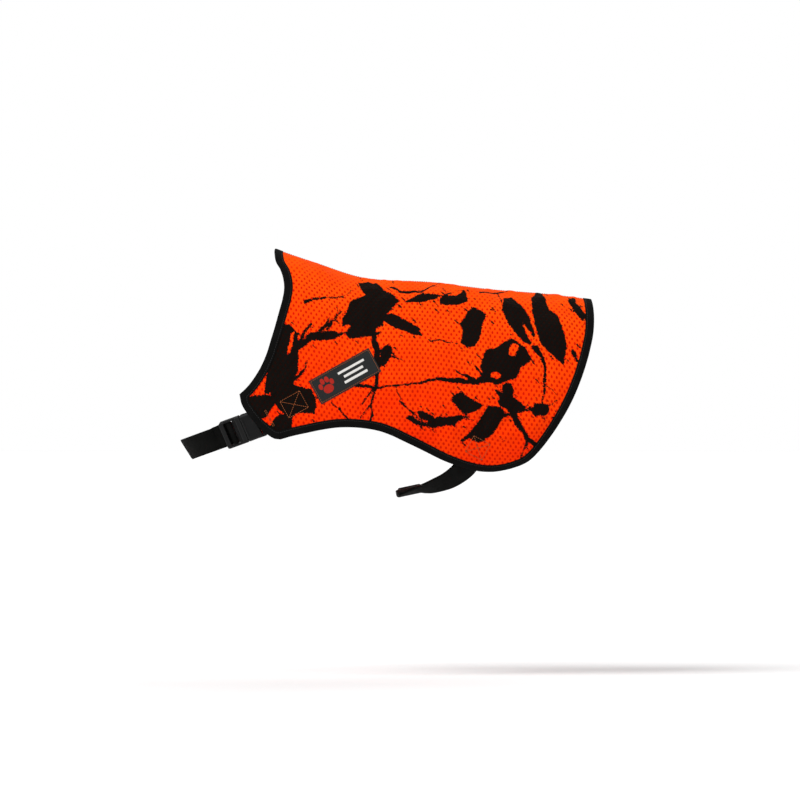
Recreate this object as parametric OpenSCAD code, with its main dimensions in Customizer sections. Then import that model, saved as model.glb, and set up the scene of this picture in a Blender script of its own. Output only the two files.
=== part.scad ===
// Hi-vis vest for a retriever-sized dog: two mesh panels joined along the back, bound edges,
// a chest strap and a girth strap, each closed by a side-release buckle.
// +X points to the tail, -Y is the dog's left side, +Z is up. The origin lies inside the torso.

/* [Vest] */
// Length along the back, from the nape to the rear edge, in mm
back_length = 445; // [400:5:490]
// Height from the nape down to the lowest point of the hem, in mm
side_drop = 311; // [280:1:330]
// Width across both shoulders, in mm
vest_width = 214; // [196:2:230]
// Thickness of the mesh fabric, in mm
panel_thick = 1.8; // [1.2:0.1:2.4]
// Width of the edge binding, in mm
binding_width = 12; // [8:1:14]
// Thickness of the edge binding, folded over the fabric, in mm
binding_thick = 3.2; // [2.6:0.1:3.6]

/* [Label] */
// Length of the woven label, in mm
label_length = 95; // [70:1:110]
// Width of the woven label, in mm
label_width = 37; // [26:1:44]
// Thickness of the woven label, in mm
label_thick = 0.8; // [0.5:0.1:1.2]

/* [Webbing] */
// Width of the strap webbing, in mm
web_width = 32; // [28:1:33]
// Thickness of the strap webbing, in mm
web_thick = 1.6; // [1.2:0.1:1.8]

/* [Buckles] */
// Width across a buckle, in mm
buckle_width = 40; // [40:1:44]
// Thickness of a buckle, in mm
buckle_thick = 11; // [10.5:0.5:12]
// Downward slope of the chest strap towards the front, in degrees
chest_slope = 20; // [17:1:22]
// Inward turn of the chest buckle towards the front, in degrees
chest_turn = 14; // [12:1:16]
// Lean of the chest strap against the sloping chest, in degrees
chest_lean = 12; // [9:1:14]
// Slope of the girth buckle, which is lower at its front edge, in degrees
girth_slope = 12; // [6:1:14]

/* [Hidden] */
$fn = 48;

blaze = "#ff5a12";
tape_black = "#17181a";
web_black = "#202022";
plastic_black = "#1b1b1d";
thread_brown = "#8a4a2a";

// Scales of the design shapes along X, along Z and across the body
kx = back_length / 445;
kz = side_drop / 311;
ky = vest_width / 214;
gap = 0.2;

// ---- vectors ----
function unit(v) = v / norm(v);
function turn_x(a, v) = [v[0], v[1] * cos(a) - v[2] * sin(a), v[1] * sin(a) + v[2] * cos(a)];
function turn_y(a, v) = [v[0] * cos(a) + v[2] * sin(a), v[1], v[2] * cos(a) - v[0] * sin(a)];
function turn_z(a, v) = [v[0] * cos(a) - v[1] * sin(a), v[0] * sin(a) + v[1] * cos(a), v[2]];
function flip(v) = [v[0], -v[1], v[2]];

// ---- smooth curves ----
// A height over X, through knots [x, height], straight on past both ends
function knot_slope(k, i) = let (a = max(i - 1, 0), b = min(i + 1, len(k) - 1))
    (k[b][1] - k[a][1]) / (k[b][0] - k[a][0]);
function knot_at(k, x, i = 0) = i >= len(k) - 2 || x < k[i + 1][0] ? i : knot_at(k, x, i + 1);
function cubic(p0, m0, p1, m1, t) = p0 * (1 + 2 * t) * (1 - t) * (1 - t) + m0 * t * (1 - t) * (1 - t)
    + p1 * t * t * (3 - 2 * t) - m1 * t * t * (1 - t);
function profile(k, x) = let (last = len(k) - 1)
    x <= k[0][0] ? k[0][1] + knot_slope(k, 0) * (x - k[0][0])
    : x >= k[last][0] ? k[last][1] + knot_slope(k, last) * (x - k[last][0])
    : let (i = knot_at(k, x), w = k[i + 1][0] - k[i][0])
        cubic(k[i][1], knot_slope(k, i) * w, k[i + 1][1], knot_slope(k, i + 1) * w, (x - k[i][0]) / w);
// n + 1 points on a smooth curve through points p; before and after steer its two ends
function step(a, b, c, d, t) = cubic(b, (c - a) / 2, c, (d - b) / 2, t);
function curve(p, n, before, after) = let (q = concat([before], p, [after]), spans = len(p) - 1)
    [for (i = [0:n]) let (s = spans * i / n, k = min(floor(s), spans - 1))
        step(q[k], q[k + 1], q[k + 2], q[k + 3], s - k)];
function open_curve(p, n) = curve(p, n, 2 * p[0] - p[1], 2 * p[len(p) - 1] - p[len(p) - 2]);

// ---- the torso that the vest lies on ----
back_line = [for (k = [[-260, 206], [-204, 184], [-146, 164], [-78, 143], [14, 137], [98, 127], [182, 120],
    [245, 112]]) [k[0] * kx, k[1] * kz]];
belly_line = [for (k = [[-260, -165], [-100, -168], [0, -163], [98, -156], [182, -132], [245, -108]])
    [k[0] * kx, k[1] * kz]];
half_width = [for (k = [[-260, 80], [-204, 97], [-120, 107], [0, 107], [100, 101], [182, 93], [245, 84]])
    [k[0] * kx, k[1] * ky]];
squareness = 2.2;

function middle(x) = (profile(back_line, x) + profile(belly_line, x)) / 2;
function rise(x) = (profile(back_line, x) - profile(belly_line, x)) / 2;
// A place on the torso is [x, angle], the angle counted from the spine down the left side
function torso(p) = let (s = abs(sin(p[1])), c = abs(cos(p[1])),
    r = pow(pow(s, squareness) + pow(c, squareness), -1 / squareness))
    [p[0], -profile(half_width, p[0]) * r * sin(p[1]), middle(p[0]) + rise(p[0]) * r * cos(p[1])];
function outward(p) = unit(cross(torso(p + [0, 1]) - torso(p - [0, 1]), torso(p + [1, 0]) - torso(p - [1, 0])));
function skin(p, off) = torso(p) + off * outward(p);
// The place whose point has this x and z, and the place nearest to a point in space
function place(x, z) = let (t = max(-1, min(1, (z - middle(x)) / rise(x))))
    [x, atan2(pow(1 - pow(abs(t), squareness), 1 / squareness), t)];
function place_of(v) = [v[0], atan2(-v[1] / profile(half_width, v[0]), (v[2] - middle(v[0])) / rise(v[0]))];
function side(x, z, off = 0) = skin(place(x, z), off);

// ---- the vest's outline on the left side, from the nape round to the rear end of the spine ----
function design(points) = [for (p = points) place(p[0] * kx, p[1] * kz)];
neck_line = concat([[-204 * kx, 0]],
    design([[-203, 170], [-193, 149], [-190, 124], [-197, 94], [-206, 62], [-218, 26], [-236, -4], [-252, -20]]));
front_line = design([[-252, -20], [-243, -45], [-212, -77], [-195, -83]]);
hem_line = design([[-195, -83], [-168, -76], [-108, -66], [-58, -71], [-11, -91], [39, -115], [90, -128],
    [132, -122], [160, -106]]);
rear_line = concat(design([[160, -106], [199, -53], [222, -6], [238, 45], [243.5, 84]]), [[241 * kx, 0]]);
neck_steps = 14;
front_steps = 4;
hem_steps = 26;
rear_steps = 18;
corner_c = neck_steps;
corner_d = corner_c + front_steps;
corner_e = corner_d + hem_steps;
rim_end = corner_e + rear_steps;

function mirrored(p) = [p[0], -p[1]];
function drop_first(list) = [for (i = [1:len(list) - 1]) list[i]];
rim = concat(
    curve(neck_line, neck_steps, mirrored(neck_line[1]), 2 * neck_line[8] - neck_line[7]),
    drop_first(open_curve(front_line, front_steps)),
    drop_first(curve(hem_line, hem_steps, 2 * hem_line[0] - hem_line[1], rear_line[1])),
    drop_first(curve(rear_line, rear_steps, hem_line[7], mirrored(rear_line[4])))
);

// The rim moved inwards by w across the fabric, with mitred corners
function rim_way(i) = unit(torso(rim[i + 1]) - torso(rim[i]));
function inset_way(i) = let (n = outward(rim[i]))
    i == 0 || i == rim_end ? unit(let (w = cross(n, rim_way(min(i, rim_end - 1)))) [w[0], 0, w[2]])
    : let (a = cross(n, rim_way(i - 1)), b = cross(n, rim_way(i))) (a + b) / (1 + a * b);
function inset(i, w) = let (p = place_of(torso(rim[i]) + w * inset_way(i)))
    i == 0 || i == rim_end ? [p[0], 0] : p;
seam_line = [for (i = [0:rim_end]) inset(i, binding_width)];
panel_line = [for (i = [0:rim_end]) inset(i, binding_width + gap)];

// ---- solids made of rows of points ----
function cell(a, b, c, d) = [[a, b, c], [a, c, d]];
// A closed sheet between an outer and an inner grid of points, each a list of rows
module sheet(outer, inner) {
    rows = len(outer);
    cols = len(outer[0]);
    top = [for (i = [0:rows - 1]) [for (j = [0:cols - 1]) i * cols + j]];
    low = [for (i = [0:rows - 1]) [for (j = [0:cols - 1]) (rows + i) * cols + j]];
    n = rows - 1;
    m = cols - 1;
    faces = concat(
        [for (i = [0:n - 1], j = [0:m - 1]) each cell(top[i][j], top[i + 1][j], top[i + 1][j + 1], top[i][j + 1])],
        [for (i = [0:n - 1], j = [0:m - 1]) each cell(low[i][j], low[i][j + 1], low[i + 1][j + 1], low[i + 1][j])],
        [for (j = [0:m - 1]) each cell(top[0][j], top[0][j + 1], low[0][j + 1], low[0][j])],
        [for (j = [0:m - 1]) each cell(top[n][j + 1], top[n][j], low[n][j], low[n][j + 1])],
        [for (i = [0:n - 1]) each cell(top[i + 1][0], top[i][0], low[i][0], low[i + 1][0])],
        [for (i = [0:n - 1]) each cell(top[i][m], top[i + 1][m], low[i + 1][m], low[i][m])]
    );
    polyhedron(points = concat([for (r = outer) each r], [for (r = inner) each r]), faces = faces);
}

// A flat strap through stations [centre, way across]
module ribbon(stations, width, thick) {
    n = len(stations) - 1;
    frames = [for (i = [0:n]) let (
        t = unit(stations[min(i + 1, n)][0] - stations[max(i - 1, 0)][0]),
        up = unit(cross(t, stations[i][1])), w = cross(up, t))
        [stations[i][0], w * width / 2, up * thick / 2]];
    sheet([for (f = frames) [f[0] + f[1] + f[2], f[0] - f[1] + f[2]]],
        [for (f = frames) [f[0] + f[1] - f[2], f[0] - f[1] - f[2]]]);
}

// ---- panels ----
function blend4(i, j) = let (u = i / hem_steps, v = j / corner_d,
    a = panel_line[0], b = panel_line[rim_end], d = panel_line[corner_d], e = panel_line[corner_e])
    (1 - v) * ((1 - u) * a + u * b) + v * panel_line[corner_d + i]
    + (1 - u) * panel_line[j] + u * panel_line[rim_end - j]
    - ((1 - u) * (1 - v) * a + u * (1 - v) * b + (1 - u) * v * d + u * v * e);
panel_grid = [for (i = [0:hem_steps]) [for (j = [0:corner_d]) blend4(i, j)]];

module half_panel() {
    sheet([for (row = panel_grid) [for (p = row) skin(p, panel_thick / 2)]],
        [for (row = panel_grid) [for (p = row) skin(p, -panel_thick / 2)]]);
}
module left_panel() { color(blaze) half_panel(); }
module right_panel() { color(blaze) mirror([0, 1, 0]) half_panel(); }

tape_width = 14;
tape_thick = 1;
module back_seam_tape() {
    first = panel_line[0][0] + 1;
    last = panel_line[rim_end][0] - 1;
    steps = 30;
    depth = panel_thick / 2 + tape_thick / 2 + 1.7;
    color(tape_black)
        ribbon([for (i = [0:steps]) [skin([first + (last - first) * i / steps, 0], -depth), [0, 1, 0]]],
            tape_width, tape_thick);
}

// ---- edge binding ----
function bound(i, off) = [skin(seam_line[i], off), skin(rim[i], off)];
function bound_far(i, off) = [for (v = bound(i, off)) flip(v)];
module binding(rows_out, rows_in) { color(tape_black) sheet(rows_out, rows_in); }
half_tape = binding_thick / 2;
function neck_rows(off) = concat([for (i = [corner_c:-1:1]) bound_far(i, off)], [for (i = [0:corner_c]) bound(i, off)]);
function hem_rows(off) = concat([for (i = [corner_d:rim_end]) bound(i, off)],
    [for (i = [rim_end - 1:-1:corner_d]) bound_far(i, off)]);
function front_rows(off) = [for (i = [corner_c:corner_d]) bound(i, off)];
module neck_binding() { binding(neck_rows(half_tape), neck_rows(-half_tape)); }
module hem_binding() { binding(hem_rows(half_tape), hem_rows(-half_tape)); }
module left_front_binding() { binding(front_rows(half_tape), front_rows(-half_tape)); }
module right_front_binding() { mirror([0, 1, 0]) left_front_binding(); }

// ---- label, on the left shoulder ----
label_centre = [-104.5 * kx, 5 * kz];
label_angle = 29;
label_lift = panel_thick / 2 + gap / 2;
function label_spot(a, b) = label_centre + [a * cos(label_angle) - b * sin(label_angle),
    a * sin(label_angle) + b * cos(label_angle)];
function label_rows(off) = [for (i = [0:10]) [for (j = [0:4])
    let (s = label_spot(label_length * (i / 10 - 0.5), label_width * (0.5 - j / 4))) side(s[0], s[1], off)]];
module woven_label() { color(tape_black) sheet(label_rows(label_lift + label_thick), label_rows(label_lift)); }

// ---- thread ----
thread_width = 0.9;
thread_thick = 0.5;
// A run of thread between two spots [x, z], laid on the left side at a height over the middle of the fabric
module thread(a, b, off) {
    steps = max(2, round(norm(b - a) / 9));
    ribbon([for (i = [0:steps]) let (s = a + (b - a) * i / steps, p = place(s[0], s[1]))
        [skin(p, off), cross(outward(p), side(b[0], b[1]) - side(a[0], a[1]))]],
        thread_width, thread_thick);
}
module thread_path(spots, off) {
    for (i = [0:len(spots) - 2]) {
        way = unit(spots[i + 1] - spots[i]);
        thread(spots[i] + way * thread_width, spots[i + 1] - way * thread_width, off);
    }
}
module label_stitching() {
    a = label_length / 2 - 2;
    b = label_width / 2 - 2;
    spots = [label_spot(-a, -b), label_spot(a, -b), label_spot(a, b), label_spot(-a, b), label_spot(-a, -b)];
    color(thread_brown) thread_path(spots, label_lift + label_thick + gap + thread_thick / 2);
}

// ---- where webbing is sewn inside the left side: a line of spots from the edge of the fabric inwards ----
function patch_spot(edge, angle, along, across) = [edge[0] * kx + along * cos(angle) - across * sin(angle),
    edge[1] * kz + along * sin(angle) + across * cos(angle)];
function patch_station(edge, angle, along, off) = let (s = patch_spot(edge, angle, along, 0),
    a = patch_spot(edge, angle, along, 1), b = patch_spot(edge, angle, along, -1))
    [side(s[0], s[1], off), unit(side(a[0], a[1]) - side(b[0], b[1]))];
module box_cross(edge, angle, from, to) {
    high = web_width / 2 - 3;
    corners = [for (c = [[from, -high], [to, -high], [to, high], [from, high]]) patch_spot(edge, angle, c[0], c[1])];
    off = panel_thick / 2 + gap + thread_thick / 2;
    centre = (corners[0] + corners[2]) / 2;
    thread_path([corners[0], corners[1], corners[2], corners[3], corners[0]], off);
    for (c = corners) thread(c + (centre - c) * 0.12, c + (centre - c) * 0.92, off);
}

chest_edge = [-222, -60];
chest_patch_angle = 29;
chest_patch_length = 72;
girth_edge = [68, -118];
girth_patch_angle = 62;
girth_patch_length = 42;
module chest_stitching() {
    bar_along = 13;
    high = web_width / 2 - 3;
    color(thread_brown) {
        box_cross(chest_edge, chest_patch_angle, chest_patch_length - 34, chest_patch_length - 3);
        thread(patch_spot(chest_edge, chest_patch_angle, bar_along, -high),
            patch_spot(chest_edge, chest_patch_angle, bar_along, high), panel_thick / 2 + gap + thread_thick / 2);
    }
}
module girth_stitching() {
    color(thread_brown) box_cross(girth_edge, girth_patch_angle, 14, girth_patch_length - 3);
}
module left_chest_stitching() { chest_stitching(); }
module right_chest_stitching() { mirror([0, 1, 0]) chest_stitching(); }
module left_girth_stitching() { girth_stitching(); }
module right_girth_stitching() { mirror([0, 1, 0]) girth_stitching(); }

// ---- buckle: +X from the socket's bar to the plug's end, +Y outwards, Z across ----
bar_r = 2.2;
// How far the chest socket's bar lies inside the fabric's mid-surface
bar_depth = 11.2;
mouth_x = 26;
plug_end = 58;
slot_half = web_width / 2 + 0.8;
rail_out = buckle_width / 2;
cavity_high = 3.4;
latch_pivot = [30, 12.5];
ladder_x = 44.8;
ladder_r = 1.9;

module rounded(x0, x1, y0, y1, r) {
    translate([x0 + r, y0]) square([x1 - x0 - 2 * r, y1 - y0]);
    translate([x0, y0 + r]) square([x1 - x0, y1 - y0 - 2 * r]);
    for (x = [x0 + r, x1 - r], y = [y0 + r, y1 - r]) translate([x, y]) circle(r);
}
// Extrusions through the thickness, across the width and along the length
module plan(depth) { rotate([90, 0, 0]) linear_extrude(depth, center = true) children(); }
module across(width) { linear_extrude(width, center = true) children(); }
module along(x0, x1) { translate([x0, 0, 0]) rotate([90, 0, 90]) linear_extrude(x1 - x0) children(); }
module block(x0, x1, y0, y1, z0, z1) { translate([x0, y0, z0]) cube([x1 - x0, y1 - y0, z1 - z0]); }

module socket() {
    window_x = [10.5, 19];
    difference() {
        intersection() {
            plan(buckle_thick) rounded(-bar_r, mouth_x, -rail_out, rail_out, 3);
            across(buckle_width) union() {
                rounded(4.7, mouth_x, -buckle_thick / 2, buckle_thick / 2, 2.5);
                rounded(-bar_r, 10, -2.8, 2.8, 2);
            }
            along(-bar_r, mouth_x) rounded(-buckle_thick / 2, buckle_thick / 2, -rail_out, rail_out, 4);
        }
        block(-bar_r - 1, 4.7, -buckle_thick, buckle_thick, -slot_half, slot_half);
        block(7.5, mouth_x + 1, -cavity_high, cavity_high, -slot_half + 0.2, slot_half - 0.2);
        block(window_x[0], window_x[1], -cavity_high, cavity_high, -rail_out - 1, rail_out + 1);
        for (y = [-1, 1]) translate([mouth_x, y * (buckle_thick / 2 + 0.4), 0]) block(-5, -3.6, -1, 1, -12, 12);
    }
    translate([0, 0, -rail_out + 2.5]) cylinder(r = bar_r, h = buckle_width - 5);
}

module plug() {
    base_x = mouth_x + 0.4;
    rib_x = [34.2, 36.4];
    difference() {
        intersection() {
            plan(buckle_thick) union() {
                rounded(base_x, plug_end, -rail_out, rail_out, 4);
                rounded(base_x, 34, -rail_out, rail_out, 1);
            }
            across(buckle_width) union() {
                rounded(base_x, 34, -buckle_thick / 2 + 0.5, buckle_thick / 2 - 0.5, 2);
                rounded(base_x, 54, -4, 4, 1.5);
                rounded(50, plug_end, -4, 5, 1.5);
            }
            along(base_x, plug_end) rounded(-buckle_thick / 2, buckle_thick / 2, -rail_out, rail_out, 3);
        }
        block(38, 51.6, -buckle_thick, buckle_thick, -slot_half, slot_half);
        block(50, plug_end + 1, -buckle_thick, -1.4, -slot_half, slot_half);
        for (s = [-1, 1]) {
            translate([latch_pivot[0], 0, s * latch_pivot[1]]) rotate([90, 0, 0])
                cylinder(r = bar_r + 0.3, h = 2 * cavity_high + 0.2, center = true);
            block(base_x - 1, latch_pivot[0], -cavity_high - 0.1, cavity_high + 0.1,
                s * latch_pivot[1] - 3.4, s * latch_pivot[1] + 3.4);
        }
        for (x = rib_x) translate([x, 0, 0]) block(0, 0.9, 3.4, 6, -14, 14);
    }
    translate([ladder_x, 0, -rail_out + 2]) cylinder(r = ladder_r, h = buckle_width - 4);
    intersection() {
        block(11, base_x + 2, -2.8, 2.8, -3.2, 3.2);
        plan(buckle_thick) rounded(11, base_x + 6, -3.2, 3.2, 2);
    }
}

// The sprung arm on the +Z side, its catch in the socket's window
module latch_arm() {
    intersection() {
        plan(6) union() {
            translate(latch_pivot) circle(bar_r);
            polygon([[30, 10.9], [30, 14.1], [24.4, 14.7], [18.6, 15.2], [18.6, 19.2], [16, 19.1], [12.6, 17.8],
                [9.6, 15.4], [9.4, 12.6], [14, 13], [22, 11.4]]);
        }
        along(8, 33) rounded(-3, 3, 9, 20, 1.2);
    }
}

// Two straight fall lines for placing buckles: the same turns as modules and as functions on vectors
chest_bar = side(-225 * kx, -61 * kz, -bar_depth);
girth_bar = [-14 * kx, -30, -156 * kz];
module on_chest() {
    translate(chest_bar) rotate([0, -chest_slope, 0]) rotate([0, 0, 180 - chest_turn]) rotate([-chest_lean, 0, 0])
        children();
}
module on_girth() { translate(girth_bar) rotate([0, -girth_slope, 0]) rotate([-90, 0, 90]) children(); }
function chest_way(v) = turn_y(-chest_slope, turn_z(180 - chest_turn, turn_x(-chest_lean, v)));
function girth_way(v) = turn_y(-girth_slope, turn_z(90, turn_x(-90, v)));

module chest_socket() { color(plastic_black) on_chest() socket(); }
module chest_plug() { color(plastic_black) on_chest() plug(); }
module chest_latch_upper() { color(plastic_black) on_chest() latch_arm(); }
module chest_latch_lower() { color(plastic_black) on_chest() mirror([0, 0, 1]) latch_arm(); }
module girth_socket() { color(plastic_black) on_girth() socket(); }
module girth_plug() { color(plastic_black) on_girth() plug(); }
module girth_latch_front() { color(plastic_black) on_girth() latch_arm(); }
module girth_latch_rear() { color(plastic_black) on_girth() mirror([0, 0, 1]) latch_arm(); }

// ---- webbing ----
// Round the socket's bar, from the outer side to the inner side, as [x, y] in the buckle's own frame
loop_r = bar_r + 0.3 + web_thick / 2;
loop_lead = 7;
bar_loop = concat([[-loop_lead, loop_r]], [for (a = [90:-22.5:-90]) [loop_r * cos(a), loop_r * sin(a)]],
    [[-loop_lead, -loop_r]]);
// Through the plug: in under the end bar, over the ladder bar, and back out below the strap
ladder_loop = concat([[68, -3.8], [60, -3.8], [54, -3.8], [50.8, -3.2]],
    [for (a = [-25:25:205]) [ladder_x + (ladder_r + 0.4 + web_thick / 2) * cos(a),
        (ladder_r + 0.4 + web_thick / 2) * sin(a)]],
    [[41.9, -3.4], [43.4, -5.4], [47, -6.1], [54, -6.1], [60, -6.1]]);

layer = binding_thick / 2 + 1.1 + web_thick / 2;
layer_step = web_thick + gap;
tail_gap = 2.3;
module chest_tab() {
    steps = 8;
    start = 6;
    function sewn(off) = [for (i = [0:steps])
        patch_station(chest_edge, chest_patch_angle, start + (chest_patch_length - start) * i / steps, off)];
    outer_run = sewn(-layer);
    inner_run = sewn(-layer - layer_step);
    loop = [for (p = bar_loop) [chest_bar + chest_way([p[0], p[1], 0]), chest_way([0, 0, 1])]];
    color(web_black)
        ribbon(concat([for (i = [steps:-1:0]) outer_run[i]], loop, [for (i = [2:steps]) inner_run[i]]),
            web_width, web_thick);
}

// The chest strap's route in its own sloping plane: [ahead of the bar, to the right], from the plug round the front
chest_front = [[82, -55.5], [103, -33], [113.5, 0], [105, 33], [86, 54], [60, 68], [34, 75]];
chest_steps = 36;
function chest_point(p, q) = chest_bar + turn_y(-chest_slope, [-p, q - chest_bar[1], 0]);
function chest_plane(v) = let (w = turn_y(chest_slope, v - chest_bar)) [-w[0], w[1] + chest_bar[1]];
function chest_across(way) = turn_y(-chest_slope,
    cos(chest_lean) * [0, 0, 1] + sin(chest_lean) * unit([-way[1], -way[0], 0]));
module chest_strap() {
    through_plug = [for (p = ladder_loop) [chest_bar + chest_way([p[0], p[1], 0]), chest_way([0, 0, 1])]];
    sewn = [for (i = [0:10]) let (s = patch_station(chest_edge, chest_patch_angle,
        chest_patch_length - (chest_patch_length + 14) * i / 10, -layer)) [flip(s[0]), flip(s[1])]];
    route = curve(concat([chest_plane(through_plug[0][0])], chest_front, [chest_plane(sewn[10][0])]), chest_steps,
        chest_plane(through_plug[1][0]), chest_plane(sewn[9][0]));
    ways = [for (i = [1:chest_steps - 1]) unit(route[i + 1] - route[i - 1])];
    // The last stretch turns to lie flat against the inside of the corner
    turning = 10;
    front = [for (i = [1:chest_steps - 1]) let (f = max(0, (i - chest_steps + turning) / turning))
        [chest_point(route[i][0], route[i][1]), unit((1 - f) * chest_across(ways[i - 1]) + f * sewn[10][1])]];
    tail = [for (i = [1:7]) let (way = ways[i - 1])
        [front[i - 1][0] + turn_y(-chest_slope, tail_gap * [way[1], way[0], 0]), front[i - 1][1]]];
    color(web_black)
        ribbon(concat(sewn, [for (i = [chest_steps - 2:-1:0]) front[i]], through_plug, tail), web_width, web_thick);
}

// The girth webbing's route on the left, from inside the hem to the belly. It lies against the body, so its way
// across follows from its course and from the way it faces.
girth_steps = 16;
girth_start = -6;
function girth_sewn(along) = patch_station(girth_edge, girth_patch_angle, along, -layer);
function girth_route(end) = curve([girth_sewn(girth_start)[0], [44 * kx, -67 * ky, -139 * kz],
    [21 * kx, -63 * ky, -149 * kz], [3 * kx, -58 * ky, -154.5 * kz], [-9 * kx, -49 * ky, -157.5 * kz], end],
    girth_steps, girth_sewn(girth_start + 30)[0], end + girth_way([11, 0, 0]));
function girth_facing(u) = unit((1 - u) * outward(place(girth_edge[0], girth_edge[1])) + u * girth_way([0, 1, 0]));
function girth_run(end) = let (route = girth_route(end))
    [for (i = [0:girth_steps - 1]) let (a = route[max(i - 1, 0)], b = route[i + 1])
        [route[i], unit(cross(b - a, girth_facing(i / girth_steps)))]];
girth_sewn_part = [for (i = [4:-1:1]) girth_sewn(girth_start + (girth_patch_length - girth_start) * i / 4)];

module girth_tab() {
    loop = [for (p = bar_loop) [girth_bar + girth_way([p[0], p[1], 0]), girth_way([0, 0, 1])]];
    run = girth_run(loop[0][0]);
    doubled = 6;
    back_run = [for (i = [1:doubled]) let (s = run[girth_steps - i],
        drop = layer_step + (2 * loop_r - layer_step) * max(0, 1 - i / 3))
        [s[0] - drop * girth_facing(1 - i / girth_steps), s[1]]];
    color(web_black) ribbon(concat(girth_sewn_part, run, loop, back_run), web_width, web_thick);
}
module girth_strap() {
    through_plug = [for (p = ladder_loop) [girth_bar + girth_way([p[0], p[1], 0]), girth_way([0, 0, 1])]];
    run = [for (s = girth_run(flip(through_plug[0][0]))) [flip(s[0]), flip(s[1])]];
    sewn = [for (s = girth_sewn_part) [flip(s[0]), flip(s[1])]];
    color(web_black) ribbon(concat(sewn, run, through_plug), web_width, web_thick);
}

left_panel();
right_panel();
back_seam_tape();
neck_binding();
hem_binding();
left_front_binding();
right_front_binding();
woven_label();
label_stitching();
left_chest_stitching();
right_chest_stitching();
left_girth_stitching();
right_girth_stitching();
chest_tab();
chest_socket();
chest_plug();
chest_latch_upper();
chest_latch_lower();
chest_strap();
girth_tab();
girth_socket();
girth_plug();
girth_latch_front();
girth_latch_rear();
girth_strap();
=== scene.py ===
"""The looks of a blaze orange dog vest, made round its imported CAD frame.

Lengths are millimetres until make_piece() turns them into metres, and angles are degrees.
A place on the torso is (x, angle), with the angle counted from the spine down the left side.
"""
import math

import bmesh
import bpy
import numpy as np
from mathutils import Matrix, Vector


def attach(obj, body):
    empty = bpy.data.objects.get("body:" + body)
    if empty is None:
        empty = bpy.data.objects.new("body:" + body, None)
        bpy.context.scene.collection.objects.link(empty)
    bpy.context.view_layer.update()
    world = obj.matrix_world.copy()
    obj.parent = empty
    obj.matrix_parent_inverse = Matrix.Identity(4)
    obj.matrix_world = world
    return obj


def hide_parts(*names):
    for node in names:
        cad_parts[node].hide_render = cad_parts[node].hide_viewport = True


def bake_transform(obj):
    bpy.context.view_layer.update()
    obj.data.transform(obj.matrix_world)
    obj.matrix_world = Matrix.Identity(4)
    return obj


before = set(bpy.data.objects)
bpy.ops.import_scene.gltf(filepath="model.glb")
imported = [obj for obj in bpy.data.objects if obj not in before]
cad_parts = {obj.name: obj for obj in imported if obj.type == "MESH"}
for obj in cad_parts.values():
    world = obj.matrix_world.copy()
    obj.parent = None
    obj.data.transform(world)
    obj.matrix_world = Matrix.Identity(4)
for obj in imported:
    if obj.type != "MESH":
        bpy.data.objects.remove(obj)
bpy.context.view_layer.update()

MM = 0.001
FLIP = np.array([1, -1, 1])

# ---- the torso that the vest lies on, as in the CAD model ----
BACK_LINE = np.array([[-260, 206], [-204, 184], [-146, 164], [-78, 143], [14, 137], [98, 127], [182, 120],
                      [245, 112]], float)
BELLY_LINE = np.array([[-260, -165], [-100, -168], [0, -163], [98, -156], [182, -132], [245, -108]], float)
HALF_WIDTH = np.array([[-260, 80], [-204, 97], [-120, 107], [0, 107], [100, 101], [182, 93],
                       [245, 84]], float)
SQUARENESS = 2.2


def unit(v):
    """Vectors at length 1."""
    return v / np.linalg.norm(v, axis=-1, keepdims=True)


def run_along(points):
    """The distance along a line at each of its points."""
    return np.concatenate([[0], np.cumsum(np.linalg.norm(np.diff(points, axis=0), axis=1))])


def cubic(p0, m0, p1, m1, t):
    """The cubic from p0 to p1 that leaves and arrives with the slopes m0 and m1."""
    return (p0 * (1 + 2 * t) * (1 - t) ** 2 + m0 * t * (1 - t) ** 2
            + p1 * t * t * (3 - 2 * t) - m1 * t * t * (1 - t))


def profile(knots, x):
    """A height over x, smooth through the knots and straight on past both ends."""
    x = np.asarray(x, float)
    kx, kh = knots.T
    last = len(knots) - 1
    before = np.maximum(np.arange(last + 1) - 1, 0)
    after = np.minimum(np.arange(last + 1) + 1, last)
    slope = (kh[after] - kh[before]) / (kx[after] - kx[before])
    i = np.clip(np.searchsorted(kx, x, side="right") - 1, 0, last - 1)
    width = kx[i + 1] - kx[i]
    inside = cubic(kh[i], slope[i] * width, kh[i + 1], slope[i + 1] * width, (x - kx[i]) / width)
    low_end = kh[0] + slope[0] * (x - kx[0])
    high_end = kh[last] + slope[last] * (x - kx[last])
    return np.where(x <= kx[0], low_end, np.where(x >= kx[last], high_end, inside))


def middle(x):
    """Height of the torso's middle."""
    return (profile(BACK_LINE, x) + profile(BELLY_LINE, x)) / 2


def rise(x):
    """Half the torso's height."""
    return (profile(BACK_LINE, x) - profile(BELLY_LINE, x)) / 2


def torso(x, angle):
    """The point on the torso at a place."""
    s, c = np.sin(np.radians(angle)), np.cos(np.radians(angle))
    r = (np.abs(s) ** SQUARENESS + np.abs(c) ** SQUARENESS) ** (-1 / SQUARENESS)
    return np.stack([x + 0 * r, -profile(HALF_WIDTH, x) * r * s, middle(x) + rise(x) * r * c], -1)


def outward(x, angle):
    """The torso's outward normal at a place."""
    downwards = torso(x, angle + 1) - torso(x, angle - 1)
    return unit(np.cross(downwards, torso(x + 1, angle) - torso(x - 1, angle)))


def skin(x, angle, off=0.0):
    """A point off the torso."""
    return torso(x, angle) + np.asarray(off, float)[..., None] * outward(x, angle)


def place(x, z):
    """The place on the left side that is seen at x and z."""
    x, z = np.asarray(x, float), np.asarray(z, float)
    t = np.clip((z - middle(x)) / rise(x), -1, 1)
    return x + 0 * t, np.degrees(np.arctan2((1 - np.abs(t) ** SQUARENESS) ** (1 / SQUARENESS), t))


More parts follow.
